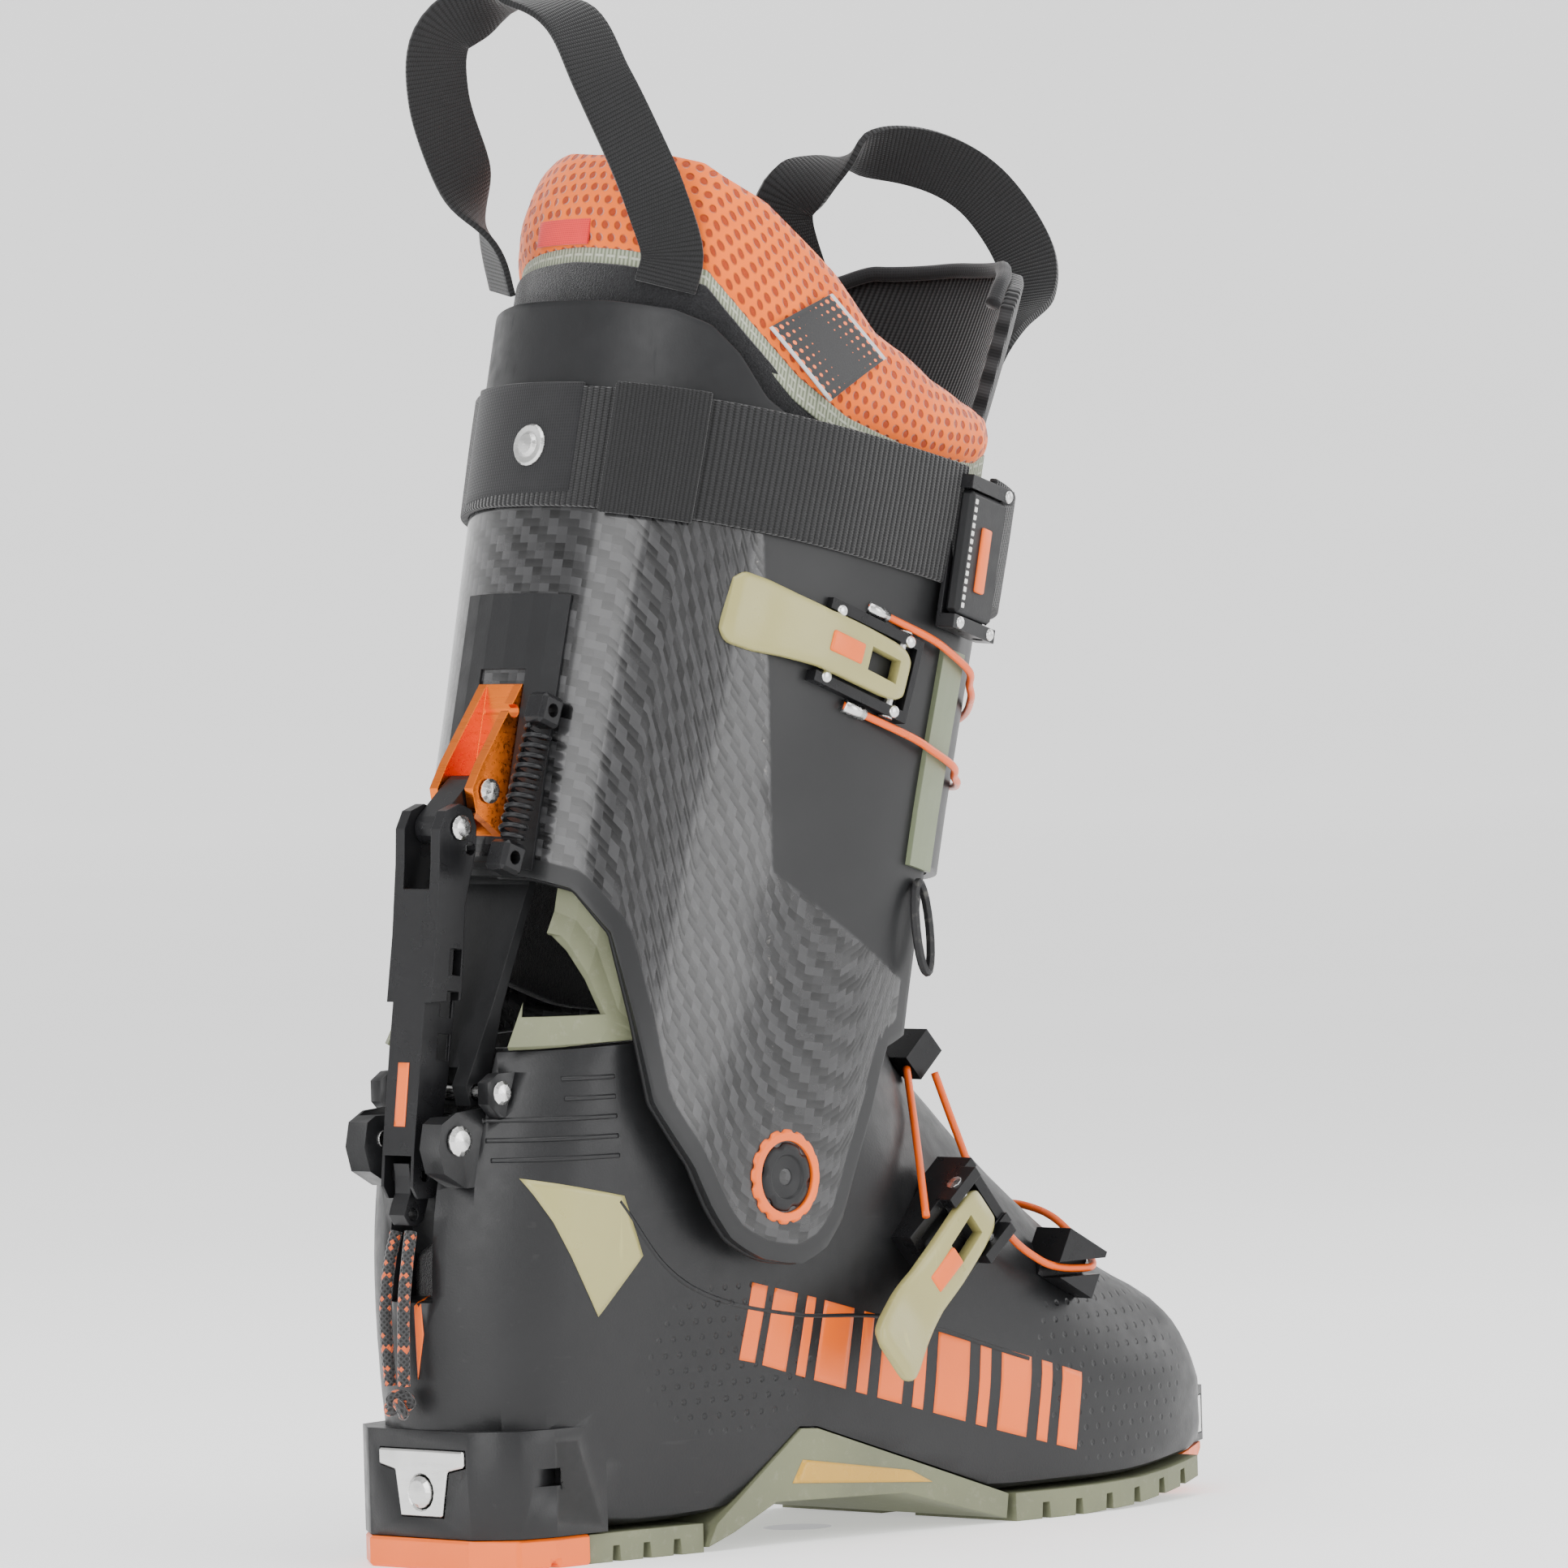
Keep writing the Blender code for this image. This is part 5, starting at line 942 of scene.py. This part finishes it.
# ==== pivots: toothed ring and notched cap ======================================================
for side, s in (("lateral", -1), ("medial", 1)):
    c = (94.0, s * 52.8, 107.0)
    ring = turned_ob("pivot_ring_toothed_" + side, [(10.3, 0.5), (13.6, 0.5), (13.6, 3.2), (12.6, 4.2), (10.3, 4.0), (10.3, 0.5)], c, (0, s, 0),
                     M["orange_plastic"], 96, teeth=(13.0, 0.8, 6, 2))
    put(ring, "cuff", "orange_plastic", "pivot_ring_" + side)
    cap = turned_ob("pivot_cap_" + side, [(5.9, -10.4), (6.0, 0.35), (9.9, 0.35), (9.9, 3.2), (8.6, 4.0), (6.4, 4.0), (6.0, 3.2), (2.4, 3.2), (2.2, 2.4), (0, 2.4)], c,
                    (0, s, 0), M["plastic_black"], 48, teeth=(8.0, 0.9, 8, 2))
    put(cap, "shell", "plastic_black", "pivot_bolt_" + side)

# ==== power strap, keeper, patch ================================================================
OFFS = 2.95
st = grid(list(np.linspace(-73, -421, 200)), lambda t: 178.5, lambda t: 213.5, 14, lambda t: OFFS + 0.12 * math.sin(math.radians(t) * 9))
strap = grid_ob("strap_webbing_band", st, M["webbing"], 2.5, bevel=0.6)
put(strap, "cuff", "webbing", "power_strap")
kg = grid(list(np.linspace(-135, -159, 24)), lambda t: 177.0, lambda t: 215.0, 14, lambda t: 5.1 + 0.25 * abs(math.sin(math.radians(t) * 40)))
put(grid_ob("strap_keeper_elastic", kg, M["loop"], 1.7, bevel=0.5), "cuff", "webbing", "strap_keeper")
pg = grid(list(np.linspace(-168, -206, 26)), lambda t: 181.5 + 0.06 * (t + 187), lambda t: 214.5, 14, OFFS + 1.5)
put(grid_ob("strap_patch", pg, M["black_cloth"], 1.2, bevel=0.4), "cuff", "webbing")
for k, (a, b, c, d) in enumerate(((-170, -204, 183.5, 183.5), (-170, -204, 212.6, 212.6), (-170, -170, 183.5, 212.6), (-204, -204, 183.5, 212.6))):
    for i in range(13):
        f0, f1 = i / 13, (i + 0.6) / 13
        p, q = [section(a + (b - a) * f, c + (d - c) * f, OFFS + 1.65) for f in (f0, f1)]
        put(tube_ob("patch_stitch_%d_%02d" % (k, i), [p, (p + q) / 2, q], 0.28, M["loop"], 6), "cuff", "webbing")

# ==== liner: fleece shaft, binding, puffy mesh collar, piping ===================================
BIND = [(-180, 254.5), (-165, 253.5), (-152, 252), (-141.6, 249.8), (-129, 237.7), (-114, 224.4), (-100, 216.4), (-82, 212.4), (-63, 215.6), (-53, 220)]
COLL = [(-180, 281), (-167.8, 282.1), (-147.8, 279.9), (-128.8, 271.1), (-107.5, 254.9), (-95.3, 242), (-79.8, 234), (-66, 231.5), (-53, 231)]
bt, ct = table(*both_sides(BIND)), table(*both_sides(COLL))
lo_t = table(*both_sides([(-180, 80), (-150, 78), (-130, 62), (-110, 52), (-90, 48), (-70, 52), (-52, 62)]))
lo_o = table(*both_sides([(-180, -8.3), (-105, -8.3), (-88, -9.6), (-52, -9.8)]))


def coll_pts(ths, t0, t1, rows, puff, base=-4.6):
    """Columns of the collar between binding and its rolled top edge, puffed outwards."""
    g = []
    for th in ths:
        col = []
        z0, z1 = bt(th), ct(th)
        for k in range(rows + 1):
            t = t0 + (t1 - t0) * k / rows
            col.append(section(th, z0 + (z1 - z0) * t, base + puff * math.sin(math.pi * min(max(t, 0), 1)) ** 0.7))
        g.append(col)
    return g


LT = list(np.linspace(-53, -307, 170))
shaft_g = []
for th in LT:
    col = []
    for k in range(25):
        w_ = lo_t(th) + (bt(th) - 3.0 - lo_t(th)) * k / 24
        o = lo_o(th)
        if w_ > 200:
            o = o + (-5.6 - o) * min((w_ - 200) / 40, 1) ** 1.2
        col.append(section(th, w_, min(o, -4.3)))
    shaft_g.append(col)
lin = grid_ob("liner_shaft_fleece", shaft_g, M["fleece"], 4.4, bevel=0.5)
put(lin, "cuff", "liner_black", "liner_shaft")
# collar: a closed puffy roll, outer side, rolled top, inner side
cg2 = []
for th in LT:
    z0, z1 = bt(th), ct(th)
    hgt = z1 - z0
    fade = min(1, (abs(th) - 53) / 10 + 0.35, (307 - abs(th)) / 10 + 0.35)
    prof = []
    for k in range(29):
        t = k / 28
        if t < 0.5:
            q = t / 0.5
            prof.append((q, -4.9 + 3.1 * math.sin(math.pi * q ** 0.9) ** 0.8 * fade))
        elif t < 0.62:
            a = (t - 0.5) / 0.12 * math.pi
            prof.append((1 + 0.09 * math.sin(a), -4.9 - 3.2 * (1 - math.cos(a)) / 1.0))
        else:
            q = 1 - (t - 0.62) / 0.38
            prof.append((q, -11.3 - 1.2 * math.sin(math.pi * q) * fade))
    wob = 0.25 * math.sin(th * 0.9) + 0.18 * math.sin(th * 2.3 + 1)
    cg2.append([section(th, z0 + hgt * q, o + wob * math.sin(math.pi * min(q, 1))) for q, o in prof])
col_ob = grid_ob("liner_collar_mesh", cg2, M["mesh"], 1.2)
put(col_ob, "cuff", "liner_black")
pp = smooth_path([section(th, ct(th) + 1.6, -7.6) for th in LT[::4]], 200)
put(tube_ob("collar_piping", pp, 1.5, M["piping"], 10), "cuff", "liner_black")
bg = grid(LT, lambda t: bt(t) - 5.5, lambda t: bt(t) + 1.6, 8, lambda t: -3.6)
bind = grid_ob("collar_binding", bg, M["binding"], 1.2, bevel=0.3)
put(bind, "cuff", "liner_black")
for nm, th0 in (("lateral", -53), ("medial", -307)):
    e = [section(th0, bt(th0) - 4 + (ct(th0) + 5 - bt(th0)) * k / 8, -4.6 - 3.4 * k / 8) for k in range(9)]
    put(tube_ob("collar_edge_" + nm, smooth_path(e, 30), 2.0, M["black_cloth"], 10), "cuff", "liner_black")
LAB = [(-123.5, 237.5), (-105.9, 220.5), (-94.4, 237.0), (-109.3, 251.2)]
lg = []
for i in range(13):
    s = i / 12
    col = []
    for j in range(13):
        t = j / 12
        p = (np.array(LAB[0]) * (1 - s) + np.array(LAB[1]) * s) * (1 - t) + (np.array(LAB[3]) * (1 - s) + np.array(LAB[2]) * s) * t
        col.append(section(p[0], p[1], 0.5))
    lg.append(col)
lab = grid_ob("collar_label", lg, M["label"], 0.8, uvm=[(i / 12, j / 12) for i in range(13) for j in range(13)])
put(lab, "cuff", "liner_black")
tg = grid(list(np.linspace(-177, -195, 10)), lambda t: 256.5, lambda t: 264, 5, lambda t: -1.4)
put(grid_ob("collar_tag", tg, M["red_tag"], 0.9, bevel=0.2), "cuff", "liner_black")

# ==== tongue ====================================================================================
tt = table((-50, 262), (-42, 274), (-28, 281), (0, 283), (28, 281), (42, 274), (50, 262))
to = table((98, -12.5), (130, -11.1), (200, -10.7), (232, -10.3), (262, -6.0), (285, -3.5))
tgd = []
for th in np.linspace(-47, 47, 70):
    hi = tt(th)
    tgd.append([section(th, 98 + (hi - 98) * k / 50, to(98 + (hi - 98) * k / 50)) for k in range(51)])
ton = grid_ob("tongue_knit", tgd, M["knit"], 4.2, flip=True, bevel=0.8)
put(ton, "cuff", "liner_black", "liner_tongue")
te = smooth_path([section(th, tt(th) + 0.8, to(tt(th)) - 2.0) for th in np.linspace(-47, 47, 24)], 90)
put(tube_ob("tongue_edge", te, 2.3, M["black_cloth"], 12), "cuff", "liner_black")

# ==== pull loops ================================================================================
def band_ob(name, pts, dirs, width, thick, mat):
    pts = np.asarray(pts, float)
    n = len(pts)
    g = []
    for i in range(n):
        t = pts[min(i + 1, n - 1)] - pts[max(i - 1, 0)]
        t /= np.linalg.norm(t)
        d = np.array(dirs[i], float)
        d = d - t * d.dot(t)
        d /= np.linalg.norm(d)
        g.append([pts[i] + d * width * (k / 8 - 0.5) for k in range(9)])
    ob = grid_ob(name, g, mat, 0)
    s = ob.modifiers.new("thick", "SOLIDIFY")
    s.thickness, s.offset = thick * 0.001, 0.0
    b = ob.modifiers.new("edge", "BEVEL")
    b.width, b.segments, b.limit_method, b.angle_limit = 0.0004, 2, "ANGLE", math.radians(50)
    return ob


def unit(v):
    return np.array(v, float) / np.linalg.norm(v)


loop_rear = [(77, -32.5, 385), (72.1, -31, 397.7), (62.7, -26, 421.1), (61.2, -14, 440), (55.3, 5, 444.8), (41.7, 17, 436.7), (45, 24, 418.4)]
NP = 90
rp = smooth_path([(80.0, -31.2, 362), (82.2, -32.2, 371.7)] + loop_rear + [(57.1, 27, 395.2), (66.0, 26.5, 376), (70.5, 26.5, 362)], NP)
ta, tb = unit(section(-144, 262) - section(-148, 262)), unit(section(-202, 262) - section(-206, 262))
dirs = []
for i in range(NP):
    t = i / (NP - 1)
    mid = np.array([0.9, -0.42, 0.0])
    k = min(1, (1 - abs(2 * t - 1)) * 2.2)
    k = max(0.0, min(1, (k - 0.12) / 0.88))
    k = k * k * (3 - 2 * k)
    end = ta if t < 0.5 else tb
    end = -end if end.dot(mid) < 0 else end
    dirs.append(end * (1 - k) + mid * k)
put(band_ob("rear_loop_webbing", rp, dirs, 18.0, 1.9, M["loop"]), "cuff", "webbing", "rear_pull_loop")
fm = [(192, 38, 388), (203, 35, 396.0), (219, 29, 401.5), (236, 18, 400.0), (248, 6, 390.0), (252, -7, 371), (246, -13, 357), (233, -17, 348.0)]
fp = smooth_path([section(44, 250, -2.8), section(44, 267, -1.0), (200, 42, 382), (203, 37, 393)] + fm[2:] + [section(-19, 256, -3.4), section(-19, 249, -5.4)], NP)
ta, tb = unit(section(42, 262) - section(38, 262)), unit(section(-22, 254) - section(-16, 254))
ta = -ta if ta[0] < 0 else ta
dirs = []
for i in range(NP):
    t = i / (NP - 1)
    mid = np.array([0.75, -0.45, 0.3]) * (1 - t) + np.array([0.35, -0.75, 0.2]) * t
    k = min(1, (1 - abs(2 * t - 1)) * 2.4)
    k = max(0.0, min(1, (k - 0.12) / 0.88))
    k = k * k * (3 - 2 * k)
    end = ta if t < 0.5 else tb
    end = -end if end.dot(mid) < 0 else end
    dirs.append(end * (1 - k) + mid * k)
put(band_ob("front_loop_webbing", fp, dirs, 18.0, 1.9, M["loop"]), "cuff", "webbing", "front_pull_loop")

# ==== buckles ===================================================================================
TILT = math.radians(7.5)
FB, SB = F * math.cos(TILT) - S * math.sin(TILT), F * math.sin(TILT) + S * math.cos(TILT)
HU = (10.5, 148.5)
hu_w = L2W(HU[0], -60.6, HU[1])


def UB(u, y, w):
    p = hu_w + FB * (u - HU[0]) + SB * (w - HU[1])
    return np.array([p[0], y, p[2]])


D, A2, HL = np.array([-0.77, 0, -0.638]), np.array([-0.638, 0, 0.77]), np.array([175.0, -51.5, 90.8])


def LB(x, y, out):
    return HL + D * x + A2 * y + np.array([0, -1, 0]) * out


def lever_ob(name, stations, to_world, ez, slot_box, pin_at, body, node):
    """Rounded lever lofted through its stations, with its U slot."""
    P = smooth_path([to_world(*s[:2]) for s in stations], 60)
    q = np.array([to_world(*s[:2]) for s in stations])
    dd = np.concatenate([[0], np.cumsum(np.linalg.norm(np.diff(q, axis=0), axis=1))])
    L = dd[-1]
    rings = []
    for i in range(60):
        t = P[min(i + 1, 59)] - P[max(i - 1, 0)]
        t /= np.linalg.norm(t)
        nn = np.cross(ez, t)
        s = L * i / 59
        th, wd = np.interp(s, dd, [k[2] for k in stations]), np.interp(s, dd, [k[3] for k in stations])
        e = min(i, 59 - i) / 4
        wd *= (1 - 0.22 * max(0, 1 - e) ** 2)
        th *= (1 - 0.35 * max(0, 1 - e) ** 2)
        ring = []
        for k in range(28):
            a = 2 * math.pi * (k + 0.5) / 28
            c, s_ = math.cos(a), math.sin(a)
            ring.append(P[i] + nn * th / 2 * math.copysign(abs(c) ** 0.5, c) + ez * wd / 2 * math.copysign(abs(s_) ** 0.36, s_))
        rings.append(ring)
    ob = loft_ob(name, rings, M["khaki"])
    cutter_of(ob, [slot_box], ["DIFFERENCE"])
    for p in ob.data.polygons:
        p.use_smooth = True
    b = ob.modifiers.new("edge", "BEVEL")
    b.width, b.segments, b.limit_method, b.angle_limit = 0.0005, 2, "ANGLE", math.radians(50)
    return put(ob, body, "khaki", node)


lever_ob("upper_lever_form", [(13.9, -61.5, 3.6, 14.5), (5, -62.6, 4.2, 16.5), (-8, -63.2, 4.2, 17), (-22, -62.6, 4.0, 17), (-33, -59.4, 4.0, 19),
                              (-42, -55.6, 4.2, 21.5), (-50, -53.0, 4.4, 21.5), (-52.5, -52.6, 3.2, 20)],
         lambda u, y: UB(u, y, HU[1]), SB, box_ob("c1", (13, 30, 7), UB(2, -62, HU[1]), FB, (0, 1, 0), SB), hu_w, "upper_buckle", "upper_buckle_lever")
lever_ob("lower_lever_form", [(-4.4, 0.3, 3.6, 14.5), (6, 1.6, 4.2, 16.5), (20, 3.2, 4.2, 17), (32, 3.8, 4.0, 17), (42, 5.2, 4.0, 19.5), (54, 9.0, 4.4, 21.5),
                              (59, 10.8, 4.2, 21), (61, 11.5, 3.2, 19)],
         lambda x, o: LB(x, 0, o), A2, box_ob("c2", (13, 7, 30), LB(10, 0, 1), D, A2, (0, 1, 0)), HL, "lower_buckle", "lower_buckle_lever")
# orange humps at the lever roots, rivets and small fittings
for nm, c, ex, ez, body in (("upper", UB(-14, -65.0, HU[1]), FB, SB, "upper_buckle"), ("lower", LB(23, 0, 5.2), D, A2, "lower_buckle")):
    c = np.array(c) + np.array([0, 0.0, 0])
    put(box_ob(nm + "_lever_inlay", (13, 1.6, 6.2), c, ex, (0, 1, 0), ez, M["orange_plastic"], 0.7), body, "orange_plastic")
for k, (u, y, w_) in enumerate(((-17, -62.4, 9.9), (-17, -62.4, -9.9), (12, -62.4, 10.6), (12, -62.4, -10.6))):
    c = UB(u, y, HU[1] + w_)
    put(turned_ob("upper_frame_rivet_%d" % k, [(1.9, -1.2), (1.9, 0.2), (1.4, 0.8), (0, 1.0)], c, (0, -1, 0), M["steel"], 24), "cuff", "steel")

# ==== cables and cord ===========================================================================
def surf(th, w_, off):
    return section(th, w_, off)


cab_up = [UB(-6, -60.4, 163.4), UB(3, -60.8, 163.4), surf(-78, 161.5, 6.3), surf(-71, 159.5, 6.4), surf(-61, 156.5, 6.3), surf(-53, 154, 3.4), surf(-44, 151.5, 2.2),
          surf(-22, 149, 2.0), surf(-4, 145, 2.0), surf(3, 138.5, 2.0), surf(-4, 132, 2.0), surf(-22, 128.5, 2.0), surf(-44, 126.5, 2.2), surf(-53, 127, 3.4),
          surf(-61, 128.5, 6.3), surf(-71, 130.5, 6.4), surf(-78, 132.2, 6.3), UB(3, -60.8, 133.6), UB(-6, -60.4, 133.6)]
put(tube_ob("upper_cable_run", smooth_path(cab_up, 220), 1.15, M["cable_orange"], 12), "cuff", "cable_orange", "upper_cable")
a_end, b_end = np.array(LB(16, 14.6, 1.5)), np.array([180.6, -19.5, 132.6])
put(tube_ob("instep_cable_straight", [a_end * (1 - k / 30) + b_end * (k / 30) + np.array([0, 0, 1.2]) * math.sin(math.pi * k / 30) for k in range(31)], 1.15,
            M["cable_orange"], 12), "shell", "cable_orange", "instep_cable_upper")
run = [(187.6, -24.0, 131), (189.4, -30.6, 113.5), (192.6, -37.0, 95), (199, -42.4, 82.5), (206.5, -44.8, 76.2), (213.0, -46.2, 73.2), (222, -46.3, 72.0),
       (231, -44.3, 72.3), (237.8, -34, 76.6), (242.5, -18, 84.6), (243, -5, 88.2), (238, 7, 90.2), (226, 13, 99.0), (210, 11, 112.6), (199, 3, 125.6), (195.5, -4.5, 132.0)]
put(tube_ob("instep_cable_loop", smooth_path(run, 200), 1.15, M["cable_orange"], 12), "shell", "cable_orange", "instep_cable_lower")
for nm, p, q, body in (("upper_a", UB(2, -60.7, 163.4), UB(-6, -60.4, 163.4), "cuff"), ("upper_b", UB(2, -60.7, 133.6), UB(-6, -60.4, 133.6), "cuff")):
    put(tube_ob("crimp_" + nm, [p, (np.array(p) + np.array(q)) / 2, q], 1.9, M["steel"], 16), body, "steel")

for nm, s in (("lateral", -1), ("medial", 1)):
    pth = smooth_path([(-3.4, s * 3.0, 96.2), (-5.6, s * 3.6, 88), (-7.6, s * 3.8, 76), (-7.8, s * 3.4, 64), (-7.5, s * 2.8, 52.6)], 60)
    ob = tube_ob("cord_strand_" + nm, pth, 1.8, M["cord"], 14)
    put(ob, "latch", "cord", "pull_cord_" + nm)
knot_path = []
for i in range(241):
    a = 2 * math.pi * i / 240
    knot_path.append(np.array([-7.3, 0, 47.2]) + np.array([2.1 * math.sin(3 * a) + 0.3, (2.2 + 1.3 * math.cos(3 * a)) * math.cos(2 * a), (2.2 + 1.3 * math.cos(3 * a)) * math.sin(2 * a) * 0.9]))
knot = tube_ob("cord_knot_form", np.array(knot_path), 1.55, M["cord"], 12, closed=True)
put(knot, "latch", "cord", "pull_cord_knot")

# ==== cam buckle =================================================================================
so = 2.95
cb = section(-67.0, 188, so)
tn = section(-65, 188, so) - section(-69, 188, so)
tn = unit(tn - S * tn.dot(S))
nout = unit(np.cross(tn, S))
if nout.dot(cb - L2W(0, 0, 188)) < 0:
    nout = -nout
tq = np.cross(S, nout)


def CB(n, t, w_):
    return cb + nout * n + tq * t + S * w_


put(box_ob("cam_orange_bar", (1.6, 5.0, 19), CB(7.3, -2.0, -1), nout, tq, S, M["orange_plastic"], 0.7), "cam", "orange_plastic")
wh = moulded("pale_serrated_strip", rgba(0.62, 0.62, 0.6), 0.35)
for k in range(14):
    put(box_ob("cam_tooth_%02d" % k, (0.9, 1.5, 1.5), CB(6.9, -9.6, -15.5 + k * 2.35), nout, tq, S, wh, 0.25), "cam", "plastic_black")
for k, (t, w_) in enumerate(((9.4, -20.4), (-8.8, -20.4), (9.4, 20.4))):
    put(turned_ob("cam_rivet_%d" % k, [(1.9, -1.0), (1.9, 0.25), (1.3, 0.8), (0, 0.95)], CB(6.6, t, w_), nout, M["steel"], 24), "cuff", "steel")

# ==== graphics draped on the lateral side of the shell ============================================
def bar(k, top, bottom, x0, x1, sl, lift=0.12, mat=None, th=0.35):
    """Slanted abstract bar between the band's top and bottom lines."""
    zt0, zt1 = np.interp([x0 + sl, x1 + sl], *top)
    zb0, zb1 = np.interp([x0, x1], *bottom)
    return patch_ob("shell_bar_%02d" % k, shell_tree, [(x0, zb0), (x1, zb1), (x1 + sl, zt1), (x0 + sl, zt0)], mat or M["orange_plastic"], lift, th, (8, 12))


TOP = ([85.5, 119, 154.4, 188.6, 226.1], [78.1, 70, 60.5, 51.1, 40])
BOT = ([89.6, 122.3, 156.1, 189.7, 222.3], [54.5, 45.1, 35.6, 26.1, 17.7])
spans = [(88, 94), (97, 106), (110, 113.5), (117, 129), (133, 137), (141, 150), (154, 158), (162, 174), (178, 182), (186, 197), (201, 205), (209, 217)]
for k, (a, b) in enumerate(spans):
    put(bar(k, TOP, BOT, a, b, 4.0), "shell", "orange_plastic")
put(patch_ob("shell_badge", shell_tree, [(35.1, 70.5), (50.2, 86.9), (43.4, 104.4), (14.4, 110.8)], M["khaki"], 0.25, 0.6, (16, 16)), "shell", "khaki")
put(patch_ob("heel_mark", shell_tree, [(1.5, 54), (5.5, 67), (4.0, 80), (0.8, 82)], M["orange_plastic"], 0.2, 0.5, (8, 12), direction=(0.8, 0.6, 0)), "shell", "orange_plastic")
for k in range(5):
    z = 116 + k * 5.6
    pts = [(x, 0, z) for x in np.linspace(10 if k < 3 else 27, 42, 30)]
    q = drape_pts(shell_tree, pts, (0, 1, 0), -0.15)
    put(tube_ob("shell_rib_%d" % k, smooth_path(q, 60), 0.75, M["shell"], 8), "shell", "shell_black")
for side, s in (("lateral", 1), ("medial", -1)):
    q = drape_pts(shell_tree, [(x, 0, z) for x, z in smooth_path([(42, 0, 103), (58.7, 0, 83.4), (78, 0, 72.8), (110, 0, 66), (150, 0, 62), (200, 0, 47)], 80)[:, [0, 2]]], (0, s, 0), -0.5)
    put(tube_ob("shell_crease_" + side, smooth_path(q, 120), 0.9, M["shell"], 8), "shell", "shell_black")
lev_tree = tree_of(frame["nodes"]["walk_lever"])
put(patch_ob("lever_stripe", lev_tree, [(0, -2.2, 126), (0, 2.2, 126), (0, 2.2, 144), (0, -2.2, 144)], M["orange_plastic"], 0.2, 0.5, (4, 10), direction=(1, 0, 0)),
    "lever", "orange_plastic")
arch_tree = tree_of(frame["nodes"]["arch_insert"])
for side, s in (("lateral", 1), ("medial", -1)):
    put(patch_ob("arch_amber_" + side, arch_tree, [(108, 17.5), (160, 14), (152, 18), (112, 24)], M["amber"], 0.2, 0.6, (14, 6), direction=(0, s, 0)), "shell", "olive_rubber")

# ==== coil spring with round wire ================================================================
TB, LWB = np.array([36.2, -22.0, 242.5]), np.array([19.8, -22.0, 201.4])
sd = unit(LWB - TB)
sl = np.linalg.norm(LWB - TB)
e1 = np.cross([0, 1, 0], sd)
hp = []
for i in range(11 * 28 + 1):
    t = i / (11 * 28)
    a = 2 * math.pi * 11 * t
    hp.append(TB + sd * (5.6 + (sl - 11.2) * t) + 3.5 * (math.cos(a) * e1 + math.sin(a) * np.array([0, 1.0, 0])))
put(tube_ob("spring_coils", hp, 0.8, M["metal_black"], 10), "cuff", "metal_black", "coil_spring")

# ==== stage: a pale floor curving up into a backdrop, soft boxes ==================================
bx = Mat("pale_backdrop")
bx.put(col=bx.mix(bx.ramp(bx.noise(3, 2), 0, 1), rgba(0.90, 0.90, 0.90), rgba(0.93, 0.93, 0.93)), rough=bx.ramp(bx.noise(40, 2), 0.6, 0.7),
       normal=bx.bump(bx.noise(300, 2), 0.0001, 0.2))
bx.b.inputs["Emission Color"].default_value = (1, 1, 1, 1)
bx.b.inputs["Emission Strength"].default_value = 0.55
prof = [(0.01, 0.0), (1.0, 0.0), (3.0, 0.0), (7.0, 0.0)] + [(7.0 + 2.0 * math.sin(q), 2.0 - 2.0 * math.cos(q)) for q in np.linspace(0.12, math.pi / 2, 14)] + [(9.0, 3.0)]
vs = [(r * math.cos(2 * math.pi * k / 64), r * math.sin(2 * math.pi * k / 64), z) for r, z in prof for k in range(64)]
fs = [(i * 64 + k, i * 64 + (k + 1) % 64, (i + 1) * 64 + (k + 1) % 64, (i + 1) * 64 + k) for i in range(len(prof) - 1) for k in range(64)]
fs.append(tuple(range(64)))
me = bpy.data.meshes.new("backdrop")
me.from_pydata(vs, [], fs)
me.polygons.foreach_set("use_smooth", [True] * len(fs))
me.materials.append(bx.m)
floor = bpy.data.objects.new("backdrop", me)
bpy.context.scene.collection.objects.link(floor)
floor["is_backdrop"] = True
wd = bpy.data.worlds.new("studio")
wd.use_nodes = True
wd.node_tree.nodes["Background"].inputs[0].default_value = (1, 1, 1, 1)
wd.node_tree.nodes["Background"].inputs[1].default_value = 0.85
bpy.context.scene.world = wd


def area(name, loc, size, power, target=(0, 0, 0.22)):
    li = bpy.data.lights.new(name, "AREA")
    li.shape, li.size, li.size_y, li.energy = "RECTANGLE", size[0], size[1], power
    ob = bpy.data.objects.new(name, li)
    ob.location = loc
    ob.rotation_euler = (Vector(target) - Vector(loc)).to_track_quat("-Z", "Y").to_euler()
    bpy.context.scene.collection.objects.link(ob)


area("soft_top", (-0.2, -0.2, 1.7), (1.6, 1.6), 24)
area("soft_left", (-1.6, -0.5, 0.8), (1.0, 1.5), 20)
area("soft_right", (0.6, -1.7, 0.7), (1.2, 1.2), 15)
area("soft_front", (1.5, -0.3, 0.9), (0.8, 1.4), 7)

lo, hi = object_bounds()
